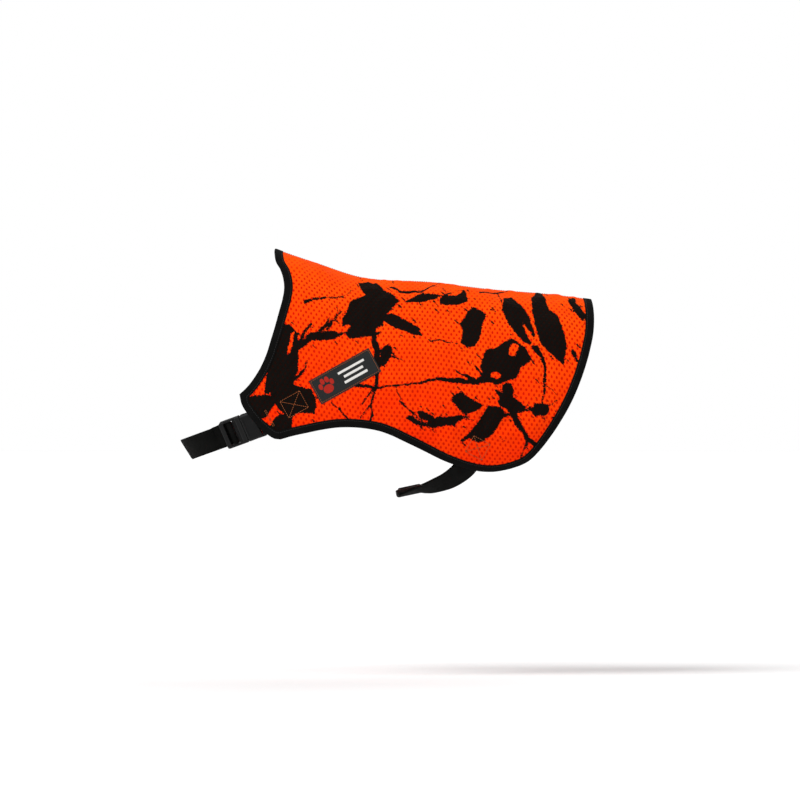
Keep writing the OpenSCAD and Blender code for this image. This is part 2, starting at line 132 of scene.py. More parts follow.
def side(x, z, off=0.0):
    """A point off the left side, from where it is seen."""
    return skin(*place(x, z), off)


def place_of(v):
    """The place nearest to a point in space."""
    x = v[..., 0]
    angle = np.degrees(np.arctan2(-v[..., 1] / profile(HALF_WIDTH, x), (v[..., 2] - middle(x)) / rise(x)))
    return np.stack([x, angle], -1)


def curve(points, n, before, after):
    """n + 1 points on a smooth curve through the given ones; before and after steer its two ends."""
    q = np.array([before, *points, after], float)
    spans = len(points) - 1
    s = spans * np.arange(n + 1) / n
    k = np.minimum(np.floor(s).astype(int), spans - 1)
    return cubic(q[k + 1], (q[k + 2] - q[k]) / 2, q[k + 2], (q[k + 3] - q[k + 1]) / 2, (s - k)[:, None])


def finer(rows, parts):
    """The same run of rows with parts times as many steps, smooth through the given ones."""
    rows = np.asarray(rows, float)
    flat = rows.reshape(len(rows), -1)
    out = curve(flat, (len(rows) - 1) * parts, 2 * flat[0] - flat[1], 2 * flat[-1] - flat[-2])
    return out.reshape(-1, *rows.shape[1:])


# ---- flat cloth: (x, distance down from the spine) ----
ANGLES = np.linspace(0, 150, 301)


def drop_table(x):
    """How far down the cloth each of ANGLES lies, for each x."""
    p = torso(np.asarray(x, float)[:, None], ANGLES[None])
    steps = np.linalg.norm(np.diff(p, axis=1), axis=-1)
    return np.concatenate([np.zeros((len(x), 1)), np.cumsum(steps, 1)], 1)


def flat_of(x, angle):
    """Places laid out flat."""
    x, angle = np.atleast_1d(np.asarray(x, float)), np.atleast_1d(np.asarray(angle, float))
    return np.array([[a, np.interp(b, ANGLES, t)] for a, b, t in zip(x, angle, drop_table(x))])


def flat_side(points):
    """Side-view points (x, z) laid out flat."""
    points = np.asarray(points, float)
    return flat_of(*place(points[:, 0], points[:, 1]))


# ---- the vest's outline, from the nape round to the rear end of the spine ----
def design(points):
    """Places for a list of side-view points."""
    return np.stack(place(*np.array(points, float).T), -1)


def joined(*parts):
    """Lines joined end to end."""
    return np.concatenate([parts[0], *[p[1:] for p in parts[1:]]])


NECK_STEPS, FRONT_STEPS, HEM_STEPS, REAR_STEPS = 14, 4, 26, 18
CORNER_C = NECK_STEPS
CORNER_D = CORNER_C + FRONT_STEPS
CORNER_E = CORNER_D + HEM_STEPS
RIM_END = CORNER_E + REAR_STEPS
BINDING = 12.0
BINDING_THICK = 3.2


def outline():
    """Places round the left half of the vest."""
    neck = np.concatenate([[[-204, 0]], design([[-203, 170], [-193, 149], [-190, 124], [-197, 94], [-206, 62],
                                                [-218, 26], [-236, -4], [-252, -20]])])
    front = design([[-252, -20], [-243, -45], [-212, -77], [-195, -83]])
    hem = design([[-195, -83], [-168, -76], [-108, -66], [-58, -71], [-11, -91], [39, -115], [90, -128],
                  [132, -122], [160, -106]])
    rear = np.concatenate([design([[160, -106], [199, -53], [222, -6], [238, 45], [243.5, 84]]), [[241, 0]]])
    mirrored = np.array([1, -1])
    return joined(
        curve(neck, NECK_STEPS, neck[1] * mirrored, 2 * neck[8] - neck[7]),
        curve(front, FRONT_STEPS, 2 * front[0] - front[1], 2 * front[3] - front[2]),
        curve(hem, HEM_STEPS, 2 * hem[0] - hem[1], rear[1]),
        curve(rear, REAR_STEPS, hem[7], rear[4] * mirrored))


def inset_ways(rim):
    """The way inwards across the fabric at each rim point, mitred at the corners."""
    p, n = torso(*rim.T), outward(*rim.T)
    ways = unit(np.diff(p, axis=0))
    out = np.zeros_like(p)
    a, b = np.cross(n[1:-1], ways[:-1]), np.cross(n[1:-1], ways[1:])
    out[1:-1] = (a + b) / (1 + (a * b).sum(1, keepdims=True))
    for end, way in ((0, ways[0]), (-1, ways[-1])):
        out[end] = unit(np.cross(n[end], way) * [1, 0, 1])
    return out


RIM = outline()
SEAM = place_of(torso(*RIM.T) + BINDING * inset_ways(RIM))
SEAM[[0, -1], 1] = 0

# ---- making meshes ----


class Parts:
    """Gathers points, faces, cloth coordinates and material numbers for one piece."""

    def __init__(self):
        self.points, self.faces, self.cloth, self.slots, self.count = [], [], [], [], 0

    def add(self, points, faces, cloth, slot=0):
        """Adds points, the faces between them, and each point's place on its cloth."""
        self.faces += [[i + self.count for i in f] for f in faces]
        self.slots += [slot] * len(faces)
        self.points.append(points)
        self.cloth.append(cloth)
        self.count += len(points)

    def mirror(self):
        """Moves all that is here to the other side of the dog."""
        self.points = [points * FLIP for points in self.points]
        self.faces = [f[::-1] for f in self.faces]

    def add_mirrored(self):
        """Adds the mirror image of all that is here, for the other side of the dog."""
        points, cloth = np.concatenate(self.points), np.concatenate(self.cloth)
        faces, slots, n = list(self.faces), list(self.slots), self.count
        self.points.append(points * FLIP)
        self.cloth.append(cloth)
        self.faces += [[i + n for i in f[::-1]] for f in faces]
        self.slots += slots
        self.count += n


def grid_faces(rows, cols, close_cols=False):
    """Quads over a grid of points kept row by row."""
    out = []
    for i in range(rows - 1):
        for j in range(cols if close_cols else cols - 1):
            k = (j + 1) % cols
            out.append([i * cols + j, i * cols + k, (i + 1) * cols + k, (i + 1) * cols + j])
    return out


def make_piece(name, parts, materials, body, replaces=(), values=None):
    """Turns gathered parts into a smooth mesh object that rides on a body."""
    mesh = bpy.data.meshes.new(name)
    points = np.concatenate(parts.points) * MM
    mesh.from_pydata(points.tolist(), [], parts.faces)
    cloth = mesh.attributes.new("cloth", "FLOAT_VECTOR", "POINT")
    cloth.data.foreach_set("vector", np.concatenate(parts.cloth).astype(np.float32).ravel())
    for key, numbers in (values or {}).items():
        layer = mesh.attributes.new(key, "FLOAT", "POINT")
        layer.data.foreach_set("value", np.asarray(numbers, np.float32))
    for m in materials:
        mesh.materials.append(m)
    mesh.polygons.foreach_set("material_index", parts.slots)
    mesh.polygons.foreach_set("use_smooth", [True] * len(parts.faces))
    mesh.update()
    piece = bpy.data.objects.new(name, mesh)
    bpy.context.scene.collection.objects.link(piece)
    if body:
        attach(piece, body)
    if replaces:
        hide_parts(*replaces)
    return piece


def sweep(parts, centres, across, section, first=0, last=None, cloth_start=0.0):
    """Sweeps a closed section of (across, out) points along centres, or along some of them."""
    tangent = unit(np.gradient(centres, axis=0))
    up = unit(np.cross(tangent, across))
    way = np.cross(up, tangent)
    s = np.asarray(section, float)
    points = (centres[:, None] + way[:, None] * s[None, :, :1] + up[:, None] * s[None, :, 1:])[first:last]
    run = cloth_start + run_along(centres[first:last])
    cloth = np.zeros((*points.shape[:2], 3))
    cloth[..., 0] = run[:, None]
    cloth[..., 1:] = s[None]
    n, m = points.shape[:2]
    caps = [list(range(m))[::-1], [(n - 1) * m + j for j in range(m)]]
    parts.add(points.reshape(-1, 3), grid_faces(n, m, True) + caps, cloth.reshape(-1, 3))
    return run[-1]


# ---- stitches ----
THREAD_R = 0.32


def stitches(parts, line, normals, length=3.0, hole=0.8, radius=THREAD_R, slot=0):
    """A run of lockstitches: short threads that rise from one hole and sink into the next."""
    both = np.concatenate([line, normals], 1)
    run = run_along(both[:, :3])
    count = max(1, int(run[-1] // length))
    pitch = run[-1] / count
    for i in range(count):
        at = i * pitch + hole / 2 + (pitch - hole) * np.array([0, 0.12, 0.5, 0.88, 1])
        rows = np.stack([np.interp(at, run, both[:, k]) for k in range(6)], -1)
        lift = radius * np.array([-1.2, 0.1, 0.55, 0.1, -1.2])
        centres = rows[:, :3] + lift[:, None] * rows[:, 3:]
        tangent = unit(np.gradient(centres, axis=0))
        across = unit(np.cross(rows[:, 3:], tangent))
        fat = radius * np.array([0.7, 1, 1.05, 1, 0.7])
        turn = np.radians(np.arange(0, 360, 60))
        c, s = np.cos(turn)[None, :, None], np.sin(turn)[None, :, None]
        ring = centres[:, None] + fat[:, None, None] * (c * across[:, None] + s * rows[:, None, 3:])
        faces = grid_faces(5, 6, True) + [[5, 4, 3, 2, 1, 0], [24, 25, 26, 27, 28, 29]]
        cloth = np.zeros((30, 3))
        cloth[:, 0] = np.repeat(at, 6)
        parts.add(ring.reshape(-1, 3), faces, cloth, slot)


# ---- materials ----
def feed(tree, socket, value):
    """Links a socket into another, or sets it to a plain value."""
    if isinstance(value, bpy.types.NodeSocket):
        tree.links.new(value, socket)
    else:
        socket.default_value = value


def node(tree, kind, inputs=None, **settings):
    """A new shader node with its settings and inputs."""
    made = tree.nodes.new(kind)
    for key, value in settings.items():
        setattr(made, key, value)
    for key, value in (inputs or {}).items():
        feed(tree, made.inputs[key], value)
    return made


def sums(tree, operation, *values):
    """The result of one maths node."""
    made = tree.nodes.new("ShaderNodeMath")
    made.operation = operation
    for socket, value in zip(made.inputs, values):
        feed(tree, socket, value)
    return made.outputs[0]


def smooth_step(tree, value, low, high, to_low=0.0, to_high=1.0):
    """A smooth step from to_low to to_high as the value goes from low to high."""
    inputs = {"Value": value, "From Min": low, "From Max": high, "To Min": to_low, "To Max": to_high}
    return node(tree, "ShaderNodeMapRange", inputs, interpolation_type="SMOOTHSTEP").outputs["Result"]


def mixed(tree, factor, a, b):
    """A colour between a (factor 0) and b (factor 1)."""
    made = tree.nodes.new("ShaderNodeMix")
    made.data_type = "RGBA"
    feed(tree, made.inputs[0], factor)
    feed(tree, made.inputs[6], a)
    feed(tree, made.inputs[7], b)
    return made.outputs[2]


def new_material(name, **settings):
    """A material with its shader's plain sockets set; returns it with its tree and shader."""
    material = bpy.data.materials.new(name)
    material.use_nodes = True
    tree = material.node_tree
    shader = tree.nodes["Principled BSDF"]
    for key, value in settings.items():
        shader.inputs[key.replace("_", " ")].default_value = value
    return material, tree, shader


def cloth_axes(tree):
    """The cloth coordinates in millimetres: the vector, then its first two parts."""
    vector = node(tree, "ShaderNodeAttribute", attribute_name="cloth").outputs["Vector"]
    split = node(tree, "ShaderNodeSeparateXYZ", {"Vector": vector})
    return vector, split.outputs[0], split.outputs[1]


def noise(tree, vector, scale, detail=2.0, rough=0.5):
    """Cloudy noise between 0 and 1."""
    return node(tree, "ShaderNodeTexNoise", {"Vector": vector, "Scale": scale, "Detail": detail,
                                             "Roughness": rough}).outputs["Fac"]


def set_bump(tree, shader, height, strength, distance):
    """Gives a shader fine relief, distance millimetres high."""
    bump = node(tree, "ShaderNodeBump", {"Height": height, "Strength": strength, "Distance": distance * MM})
    tree.links.new(bump.outputs["Normal"], shader.inputs["Normal"])


# The knit's dimples stand in staggered rows
DIMPLE_PITCH = 7.2
ROW_PITCH = 5.8
DIMPLE_HALF_WIDTH = 1.55
DIMPLE_HALF_HEIGHT = 2.35


def rgb(red, green, blue):
    """An opaque colour."""
    return (red, green, blue, 1.0)


def dimple_nodes(tree, u, v):
    """1 in the middle of a dimple and 0 between dimples."""
    rows = sums(tree, "DIVIDE", v, ROW_PITCH)
    shift = sums(tree, "MULTIPLY", sums(tree, "FLOORED_MODULO", sums(tree, "FLOOR", rows), 2.0), 0.5)
    along = sums(tree, "FRACT", sums(tree, "ADD", sums(tree, "DIVIDE", u, DIMPLE_PITCH), shift))
    fx = sums(tree, "MULTIPLY", sums(tree, "SUBTRACT", along, 0.5), DIMPLE_PITCH)
    fy = sums(tree, "MULTIPLY", sums(tree, "SUBTRACT", sums(tree, "FRACT", rows), 0.5), ROW_PITCH)
    width = sums(tree, "ADD", sums(tree, "MULTIPLY", fy, 0.18), DIMPLE_HALF_WIDTH)
    r = sums(tree, "SQRT", sums(tree, "ADD", sums(tree, "POWER", sums(tree, "DIVIDE", fx, width), 2.0),
                                sums(tree, "POWER", sums(tree, "DIVIDE", fy, DIMPLE_HALF_HEIGHT), 2.0)))
    return smooth_step(tree, r, 0.5, 1.3, 1.0, 0.0)


def dimple_depth(u, v):
    """The same dimples as numbers, for the mesh."""
    rows = v / ROW_PITCH
    shift = np.floor(rows) % 2 * 0.5
    fx = ((u / DIMPLE_PITCH + shift) % 1 - 0.5) * DIMPLE_PITCH
    fy = (rows % 1 - 0.5) * ROW_PITCH
    r = np.hypot(fx / (DIMPLE_HALF_WIDTH + 0.18 * fy), fy / DIMPLE_HALF_HEIGHT)
    t = np.clip((1.5 - r) / 1.2, 0, 1)
    return t * t * (3 - 2 * t)


def blaze_material():
    """Dimpled hi-vis knit with the dark camouflage print."""
    material, tree, shader = new_material("blaze_mesh_print", Roughness=0.85, Specular_IOR_Level=0.03,
                                          Sheen_Weight=0.015, Sheen_Roughness=0.5)
    shader.inputs["Sheen Tint"].default_value = rgb(1, 0.45, 0.15)
    vector, u, v = cloth_axes(tree)
    dimple = dimple_nodes(tree, u, v)
    # Dimples fade towards the spine, where the knit is stretched flat over the back
    spread = smooth_step(tree, v, 18.0, 85.0, 0.25, 1.0)
    dark = sums(tree, "MULTIPLY", dimple, spread)
    cloudy = smooth_step(tree, noise(tree, vector, 0.02, 3.0), 0.3, 0.7)
    high = mixed(tree, cloudy, rgb(0.93, 0.064, 0.0005), rgb(0.97, 0.082, 0.001))
    low = mixed(tree, cloudy, rgb(0.90, 0.026, 0.0), rgb(0.94, 0.040, 0.0))
    # Painted shade: the colour is deeper further down from the spine, standing in for less light on the lower
    # knit
    base = mixed(tree, smooth_step(tree, v, 30.0, 300.0), high, low)
    # Painted shade in the dimples: each is coloured a deeper red-orange, less so towards the spine
    ground = mixed(tree, dark, base, rgb(0.60, 0.007, 0.0))
    # The print's edge follows the knit: ragged, and pulled in round each dimple
    edge = node(tree, "ShaderNodeAttribute", attribute_name="print").outputs["Fac"]
    coarse = sums(tree, "MULTIPLY", sums(tree, "SUBTRACT", noise(tree, vector, 0.16, 3.0, 0.6), 0.5), 5.5)
    fine = sums(tree, "MULTIPLY", sums(tree, "SUBTRACT", noise(tree, vector, 0.55, 2.0), 0.5), 4.2)
    pulled = sums(tree, "MULTIPLY", dimple, 0.5)
    ragged = sums(tree, "ADD", sums(tree, "ADD", edge, coarse), sums(tree, "ADD", fine, pulled))
    ink = smooth_step(tree, ragged, -0.35, 0.35, 1.0, 0.0)
    black = mixed(tree, dimple, rgb(0.0046, 0.0036, 0.0030), rgb(0.0105, 0.0024, 0.0014))
    tree.links.new(mixed(tree, ink, ground, black), shader.inputs["Base Color"])
    loops = node(tree, "ShaderNodeTexVoronoi", {"Vector": vector, "Scale": 0.95}).outputs["Distance"]
    height = sums(tree, "SUBTRACT", sums(tree, "MULTIPLY", loops, 0.25), sums(tree, "MULTIPLY", dimple, 0.8))
    set_bump(tree, shader, height, 0.55, 0.6)
    return material


def tape_material(name, base, light, pitch, strength=0.5):
    """Woven tape or webbing: ribs across it, yarns along it, and painted highlight on the high threads,
    stronger in random patches.
    """
    material, tree, shader = new_material(name, Roughness=0.85, Specular_IOR_Level=0.04, Sheen_Weight=0.006,
                                          Sheen_Roughness=0.4)
    vector, u, v = cloth_axes(tree)
    diagonal = sums(tree, "ADD", u, sums(tree, "MULTIPLY", sums(tree, "ABSOLUTE", v), 0.6))
    rib = sums(tree, "SINE", sums(tree, "MULTIPLY", diagonal, 2 * math.pi / pitch))
    yarn = sums(tree, "SINE", sums(tree, "MULTIPLY", v, 2 * math.pi / (pitch * 0.9)))
    weave = sums(tree, "MULTIPLY_ADD", sums(tree, "MULTIPLY", rib, yarn), 0.5, 0.5)
    lightening = smooth_step(tree, noise(tree, vector, 0.05, 3.0), 0.35, 0.8, 0.25, 1.0)
    # Painted highlight: the raised threads are coloured lighter, more in some random patches than in others
    colour = mixed(tree, sums(tree, "MULTIPLY", weave, lightening), base, light)
    tree.links.new(colour, shader.inputs["Base Color"])
    fuzz = sums(tree, "MULTIPLY", noise(tree, vector, 2.2, 1.0), 0.5)
    set_bump(tree, shader, sums(tree, "ADD", weave, fuzz), strength, 0.35)
    return material


def thread_material(name, colour, light):
    """Twisted sewing thread."""
    material, tree, shader = new_material(name, Roughness=0.6, Specular_IOR_Level=0.2, Sheen_Weight=0.03)
    u = cloth_axes(tree)[1]
    twist = sums(tree, "MULTIPLY_ADD", sums(tree, "SINE", sums(tree, "MULTIPLY", u, 9.0)), 0.5, 0.5)
    tree.links.new(mixed(tree, twist, colour, light), shader.inputs["Base Color"])
    set_bump(tree, shader, twist, 0.4, 0.1)
    return material


def label_material():
    """Satin-woven label with a red paw and white bars in its yarns."""
    material, tree, shader = new_material("woven_label_satin", Roughness=0.65, Specular_IOR_Level=0.12,
                                          Sheen_Weight=0.02)
    _, u, v = cloth_axes(tree)
    weft = sums(tree, "MULTIPLY_ADD", sums(tree, "SINE", sums(tree, "MULTIPLY", v, 11.0)), 0.5, 0.5)
    warp = sums(tree, "MULTIPLY_ADD", sums(tree, "SINE", sums(tree, "MULTIPLY", u, 8.0)), 0.5, 0.5)
    weave = sums(tree, "MULTIPLY", weft, warp)
    ground = mixed(tree, weave, rgb(0.0115, 0.0125, 0.0125), rgb(0.026, 0.028, 0.028))
    for key, dull, bright in (("paw", rgb(0.30, 0.012, 0.006), rgb(0.56, 0.026, 0.012)),
                              ("bars", rgb(0.62, 0.60, 0.57), rgb(0.9, 0.89, 0.86))):
        edge = node(tree, "ShaderNodeAttribute", attribute_name=key).outputs["Fac"]
        stepped = sums(tree, "ADD", edge, sums(tree, "MULTIPLY", sums(tree, "SUBTRACT", weft, 0.5), 0.25))
        inside = smooth_step(tree, stepped, -0.15, 0.15, 1.0, 0.0)
        ground = mixed(tree, inside, ground, mixed(tree, weave, dull, bright))
    tree.links.new(ground, shader.inputs["Base Color"])
    set_bump(tree, shader, weave, 0.5, 0.2)
    return material


def plastic_material():
    """Moulded black acetal: fine spark texture, rubbed lighter on its edges and by handling."""
    material, tree, shader = new_material("buckle_plastic_moulded", Specular_IOR_Level=0.14)
    where = node(tree, "ShaderNodeTexCoord").outputs["Object"]
    grain = noise(tree, where, 1400.0, 2.0)
    rubbed = smooth_step(tree, noise(tree, where, 60.0, 4.0, 0.6), 0.45, 0.75)
    edges = smooth_step(tree, node(tree, "ShaderNodeNewGeometry").outputs["Pointiness"], 0.51, 0.58)
    lightening = sums(tree, "MAXIMUM", sums(tree, "MULTIPLY", rubbed, 0.35), edges)
    colour = mixed(tree, lightening, rgb(0.0038, 0.0038, 0.0039), rgb(0.0150, 0.0150, 0.0152))
    tree.links.new(colour, shader.inputs["Base Color"])
    tree.links.new(smooth_step(tree, rubbed, 0.0, 1.0, 0.5, 0.36), shader.inputs["Roughness"])
    soft = node(tree, "ShaderNodeBevel", {"Radius": 0.5 * MM}, samples=6)
    bump = node(tree, "ShaderNodeBump", {"Height": grain, "Strength": 0.25, "Distance": 0.1 * MM,
                                         "Normal": soft.outputs["Normal"]})
    tree.links.new(bump.outputs["Normal"], shader.inputs["Normal"])
    return material


# ---- the print: a generic one of limbs, twigs, blots and specks, laid out in side-view (x, z) ----
# The rows say roughly where the dark masses lie; every outline, bend, twig and speck is drawn at random
# (x, z, heading, length, half width, twigs)
LIMBS = [
    (-186, -62, 98, 150, 6.5, 3), (-176, 44, 8, 84, 4.2, 1), (-64, 66, -84, 140, 4.4, 3),
    (-98, -6, 9, 118, 2.6, 1), (-40, 128, -24, 84, 3.6, 2), (-160, 108, 22, 74, 2.2, 0),
    (104, 2, -142, 118, 6.5, 2), (122, -12, -104, 112, 8, 2), (160, 42, -80, 78, 4.2, 1),
    (84, 118, -6, 112, 2.2, 2), (104, -50, -8, 92, 2.8, 2), (-246, -36, 14, 52, 4.5, 1),
    (-16, -52, -6, 92, 4.4, 2), (214, 112, -52, 46, 2.4, 1), (-112, -40, -70, 26, 2, 0),
    (-28, -30, -30, 46, 1.8, 1), (16, 52, 24, 40, 1.8, 0), (214, 38, -70, 26, 4, 0),
    (60, -84, 20, 44, 2.6, 0), (-128, 70, 66, 40, 1.6, 0),
]
# (x, z, long radius, short radius, tilt)
BLOTS = [
    (-190, 24, 58, 20, 80), (-172, -30, 36, 21, -8), (-228, -38, 27, 16, 12), (-78, 86, 46, 27, 30),
    (-60, 120, 26, 12, 155), (-26, 76, 32, 9, -26), (6, 112, 28, 6, 6), (-48, 36, 17, 8, 62),
    (44, 112, 26, 11, 14), (72, 68, 30, 17, 76), (116, 24, 37, 28, 4), (138, 76, 44, 16, -60),
    (180, 72, 46, 19, -66), (168, -40, 13, 11, 0), (92, -62, 38, 14, 54), (64, -32, 28, 12, -28),
    (36, -56, 30, 8, 4), (-198, -64, 20, 10, 60), (124, -30, 24, 11, -35), (-136, 62, 30, 8, 6),
    (6, -50, 17, 7, -30), (222, 96, 20, 6, -50),
]
CLEARINGS = [(-106, 70, 9, 4, 30), (130, 40, 10, 6, 60), (50, 120, 10, 3, 10), (-180, 50, 15, 3, 78),
             (152, 62, 17, 3, -62), (-54, 70, 8, 4, 20), (104, 6, 7, 4, -20)]
SPECKS_EACH = 7
ALL_ORANGE = 100.0
PRINT_SEED = 5


def to_segments(p, line):
    """Each point's nearest distance to each segment of a line, and how far along the segment that is."""
    a, b = line[:-1], line[1:]
    d = b - a
    t = np.clip(((p[:, None] - a) * d).sum(-1) / np.maximum((d * d).sum(-1), 1e-9), 0, 1)
    return np.linalg.norm(p[:, None] - a - t[..., None] * d, axis=-1), t


def inside(p, loop):
    """Whether each point is inside a closed outline."""
    a, b = loop, np.roll(loop, -1, axis=0)
    x, y = p[:, :1], p[:, 1:]
    crosses = (a[:, 1] > y) != (b[:, 1] > y)
    height = np.where(np.abs(b[:, 1] - a[:, 1]) < 1e-9, 1e-9, b[:, 1] - a[:, 1])
    return (crosses & (x < a[:, 0] + (b[:, 0] - a[:, 0]) * (y - a[:, 1]) / height)).sum(1) % 2 == 1


def outline_distance(p, loop):
    """Distance to a closed outline, negative inside it."""
    gap = to_segments(p, np.concatenate([loop, loop[:1]]))[0].min(1)
    return np.where(inside(p, loop), -gap, gap)


def branch_distance(p, spots):
    """Distance to a tapering branch, negative inside it."""
    spots = np.array(spots, float)
    gap, t = to_segments(p, flat_side(spots[:, :2]))
    return (gap - (spots[:-1, 2] + t * np.diff(spots[:, 2]))).min(1)


def limb(rng, x, z, heading, length, half_width, twigs):
    """A wandering, tapering branch of (x, z, half width) spots, then its twigs."""
    steps = max(3, round(length / 13))
    spots = []
    for i in range(steps + 1):
        spots.append((x, z, half_width * (1 - 0.8 * i / steps) * rng.uniform(0.7, 1.3)))
        heading += rng.normal(0, 15)
        x += length / steps * math.cos(math.radians(heading))
        z += length / steps * math.sin(math.radians(heading))
    out = [spots]
    for _ in range(twigs):
        k = rng.integers(1, steps)
        turn = rng.choice([-1, 1]) * rng.uniform(35, 65)
        out += limb(rng, *spots[k][:2], heading + turn, length * rng.uniform(0.2, 0.4), spots[k][2] * 0.7, 0)
    return out


def blot(rng, x, z, long_radius, short_radius, tilt):
    """An angular patch with uneven corners."""
    corners = rng.integers(7, 12)
    turn = 2 * math.pi * (np.arange(corners) + rng.uniform(-0.3, 0.3, corners)) / corners
    reach = rng.uniform(0.7, 1.25, corners)
    a, b = reach * long_radius * np.cos(turn), reach * short_radius * np.sin(turn)
    c, s = math.cos(math.radians(tilt)), math.sin(math.radians(tilt))
    return np.column_stack([x + a * c - b * s, z + a * s + b * c])


def specks(rng, x, z, long_radius, short_radius, tilt):
    """Short dry-brush flecks round a patch, all lying the same way."""
    out = []
    edge = blot(rng, x, z, long_radius * 1.3, short_radius * 1.5, tilt)
    for x0, z0 in edge[rng.permutation(len(edge))[:SPECKS_EACH]]:
        length = rng.uniform(2, 9)
        out.append([(x0, z0, rng.uniform(0.8, 1.6)), (x0 + 0.7 * length, z0 - 0.7 * length, 0.7)])
    return out


def near(p, spots, reach=30.0):
    """Numbers of the points within reach of a shape's box."""
    low, high = np.min(spots, 0) - reach, np.max(spots, 0) + reach
    return np.nonzero(((p > low) & (p < high)).all(1))[0]


def print_distance(p):
    """How far each flat point is from the print, in millimetres, negative in the ink."""
    best = np.full(len(p), ALL_ORANGE)
    rng = np.random.default_rng(PRINT_SEED)
    branches = [spots for row in LIMBS for spots in limb(rng, *row)]
    branches += [spots for row in BLOTS for spots in specks(rng, *row)]
    for spots in branches:
        k = near(p, flat_side(np.array(spots)[:, :2]))
        best[k] = np.minimum(best[k], branch_distance(p[k], spots))
    for row in BLOTS:
        loop = flat_side(blot(rng, *row))
        k = near(p, loop)
        best[k] = np.minimum(best[k], outline_distance(p[k], loop))
    for row in CLEARINGS:
        loop = flat_side(blot(rng, *row))
        k = near(p, loop)
        best[k] = np.maximum(best[k], -outline_distance(p[k], loop))
    return best


# ---- sewn-on patches of webbing, and the label ----
def patch_spot(edge, angle, along, across=0.0):
    """A side-view point in a patch's own (along, across) frame."""
    a = math.radians(angle)
    along, across = np.asarray(along, float), np.asarray(across, float)
    return np.stack([edge[0] + along * math.cos(a) - across * math.sin(a),
                     edge[1] + along * math.sin(a) + across * math.cos(a)], -1)


def patch_station(edge, angle, along, off):
    """The middle of webbing sewn inside the left side, and its way across."""
    s, a, b = (patch_spot(edge, angle, along, k) for k in (0.0, 1.0, -1.0))
    return side(*s.T, off), unit(side(*a.T) - side(*b.T))


WEB_WIDTH, WEB_THICK = 32.0, 1.6
CHEST_EDGE, CHEST_PATCH_ANGLE, CHEST_PATCH = (-222, -60), 29, 72.0
GIRTH_EDGE, GIRTH_PATCH_ANGLE, GIRTH_PATCH = (68, -118), 62, 42.0
PATCHES = {"chest": (CHEST_EDGE, CHEST_PATCH_ANGLE, CHEST_PATCH),
           "girth": (GIRTH_EDGE, GIRTH_PATCH_ANGLE, GIRTH_PATCH)}
LABEL_CENTRE, LABEL_ANGLE = (-104.5, 5), 29
LABEL_LENGTH, LABEL_WIDTH, LABEL_THICK = 95.0, 37.0, 0.8
FABRIC_OUT, FABRIC_IN = 0.75, -0.45
LABEL_OFF = 1.0

# ---- the two fabric panels ----
U_STEP, V_STEP = DIMPLE_PITCH / 4, ROW_PITCH / 4
COARSE = 4
SIM_STEPS = 45
MOST_MOVE = 7.0
U_FIRST, U_COUNT = -36 * DIMPLE_PITCH, 70 * COARSE + 1
V_COUNT = 62 * COARSE + 1
TRIM = 0.4
PRINT_TURN = np.array([26.0, 236.0])


def rim_line(share, dense=8):
    """The outline moved inwards by a share of the binding, as places."""
    return finer(RIM + share * (SEAM - RIM), dense)


def flat_loop(places):
    """A line of places laid out flat."""
    return np.array([[x, np.interp(a, ANGLES, t)] for (x, a), t in zip(places, drop_table(places[:, 0]))])


def sheet_places(u, v):
    """The torso angle for each flat point of a grid of columns u and rows v."""
    table = drop_table(u)
    return np.array([np.interp(v, t, ANGLES) for t in table])


def stiff_zone(flat):
    """1 where webbing, the label, the binding or the spine seam holds the fabric still, falling to 0."""
    seam = np.concatenate([flat_loop(rim_line(1.0, 2)), [[SEAM[-1, 0], -50], [SEAM[0, 0], -50]]])
    hold = np.clip(1 + outline_distance(flat, seam) / 12, 0, 1)
    hold = np.maximum(hold, np.clip(1.6 - flat[:, 1] / 10, 0, 1))
    across = np.array([-1, -1, 1, 1]) / 2
    zones = [patch_spot(LABEL_CENTRE, LABEL_ANGLE, LABEL_LENGTH / 2 * np.array([-1, 1, 1, -1]),
                        LABEL_WIDTH * across)]
    for edge, angle, length in PATCHES.values():
        zones.append(patch_spot(edge, angle, length * np.array([0, 1, 1, 0]), WEB_WIDTH * across))
    for zone in zones:
        hold = np.maximum(hold, np.clip(1 - outline_distance(flat, flat_side(zone)) / 10, 0, 1))
    return hold


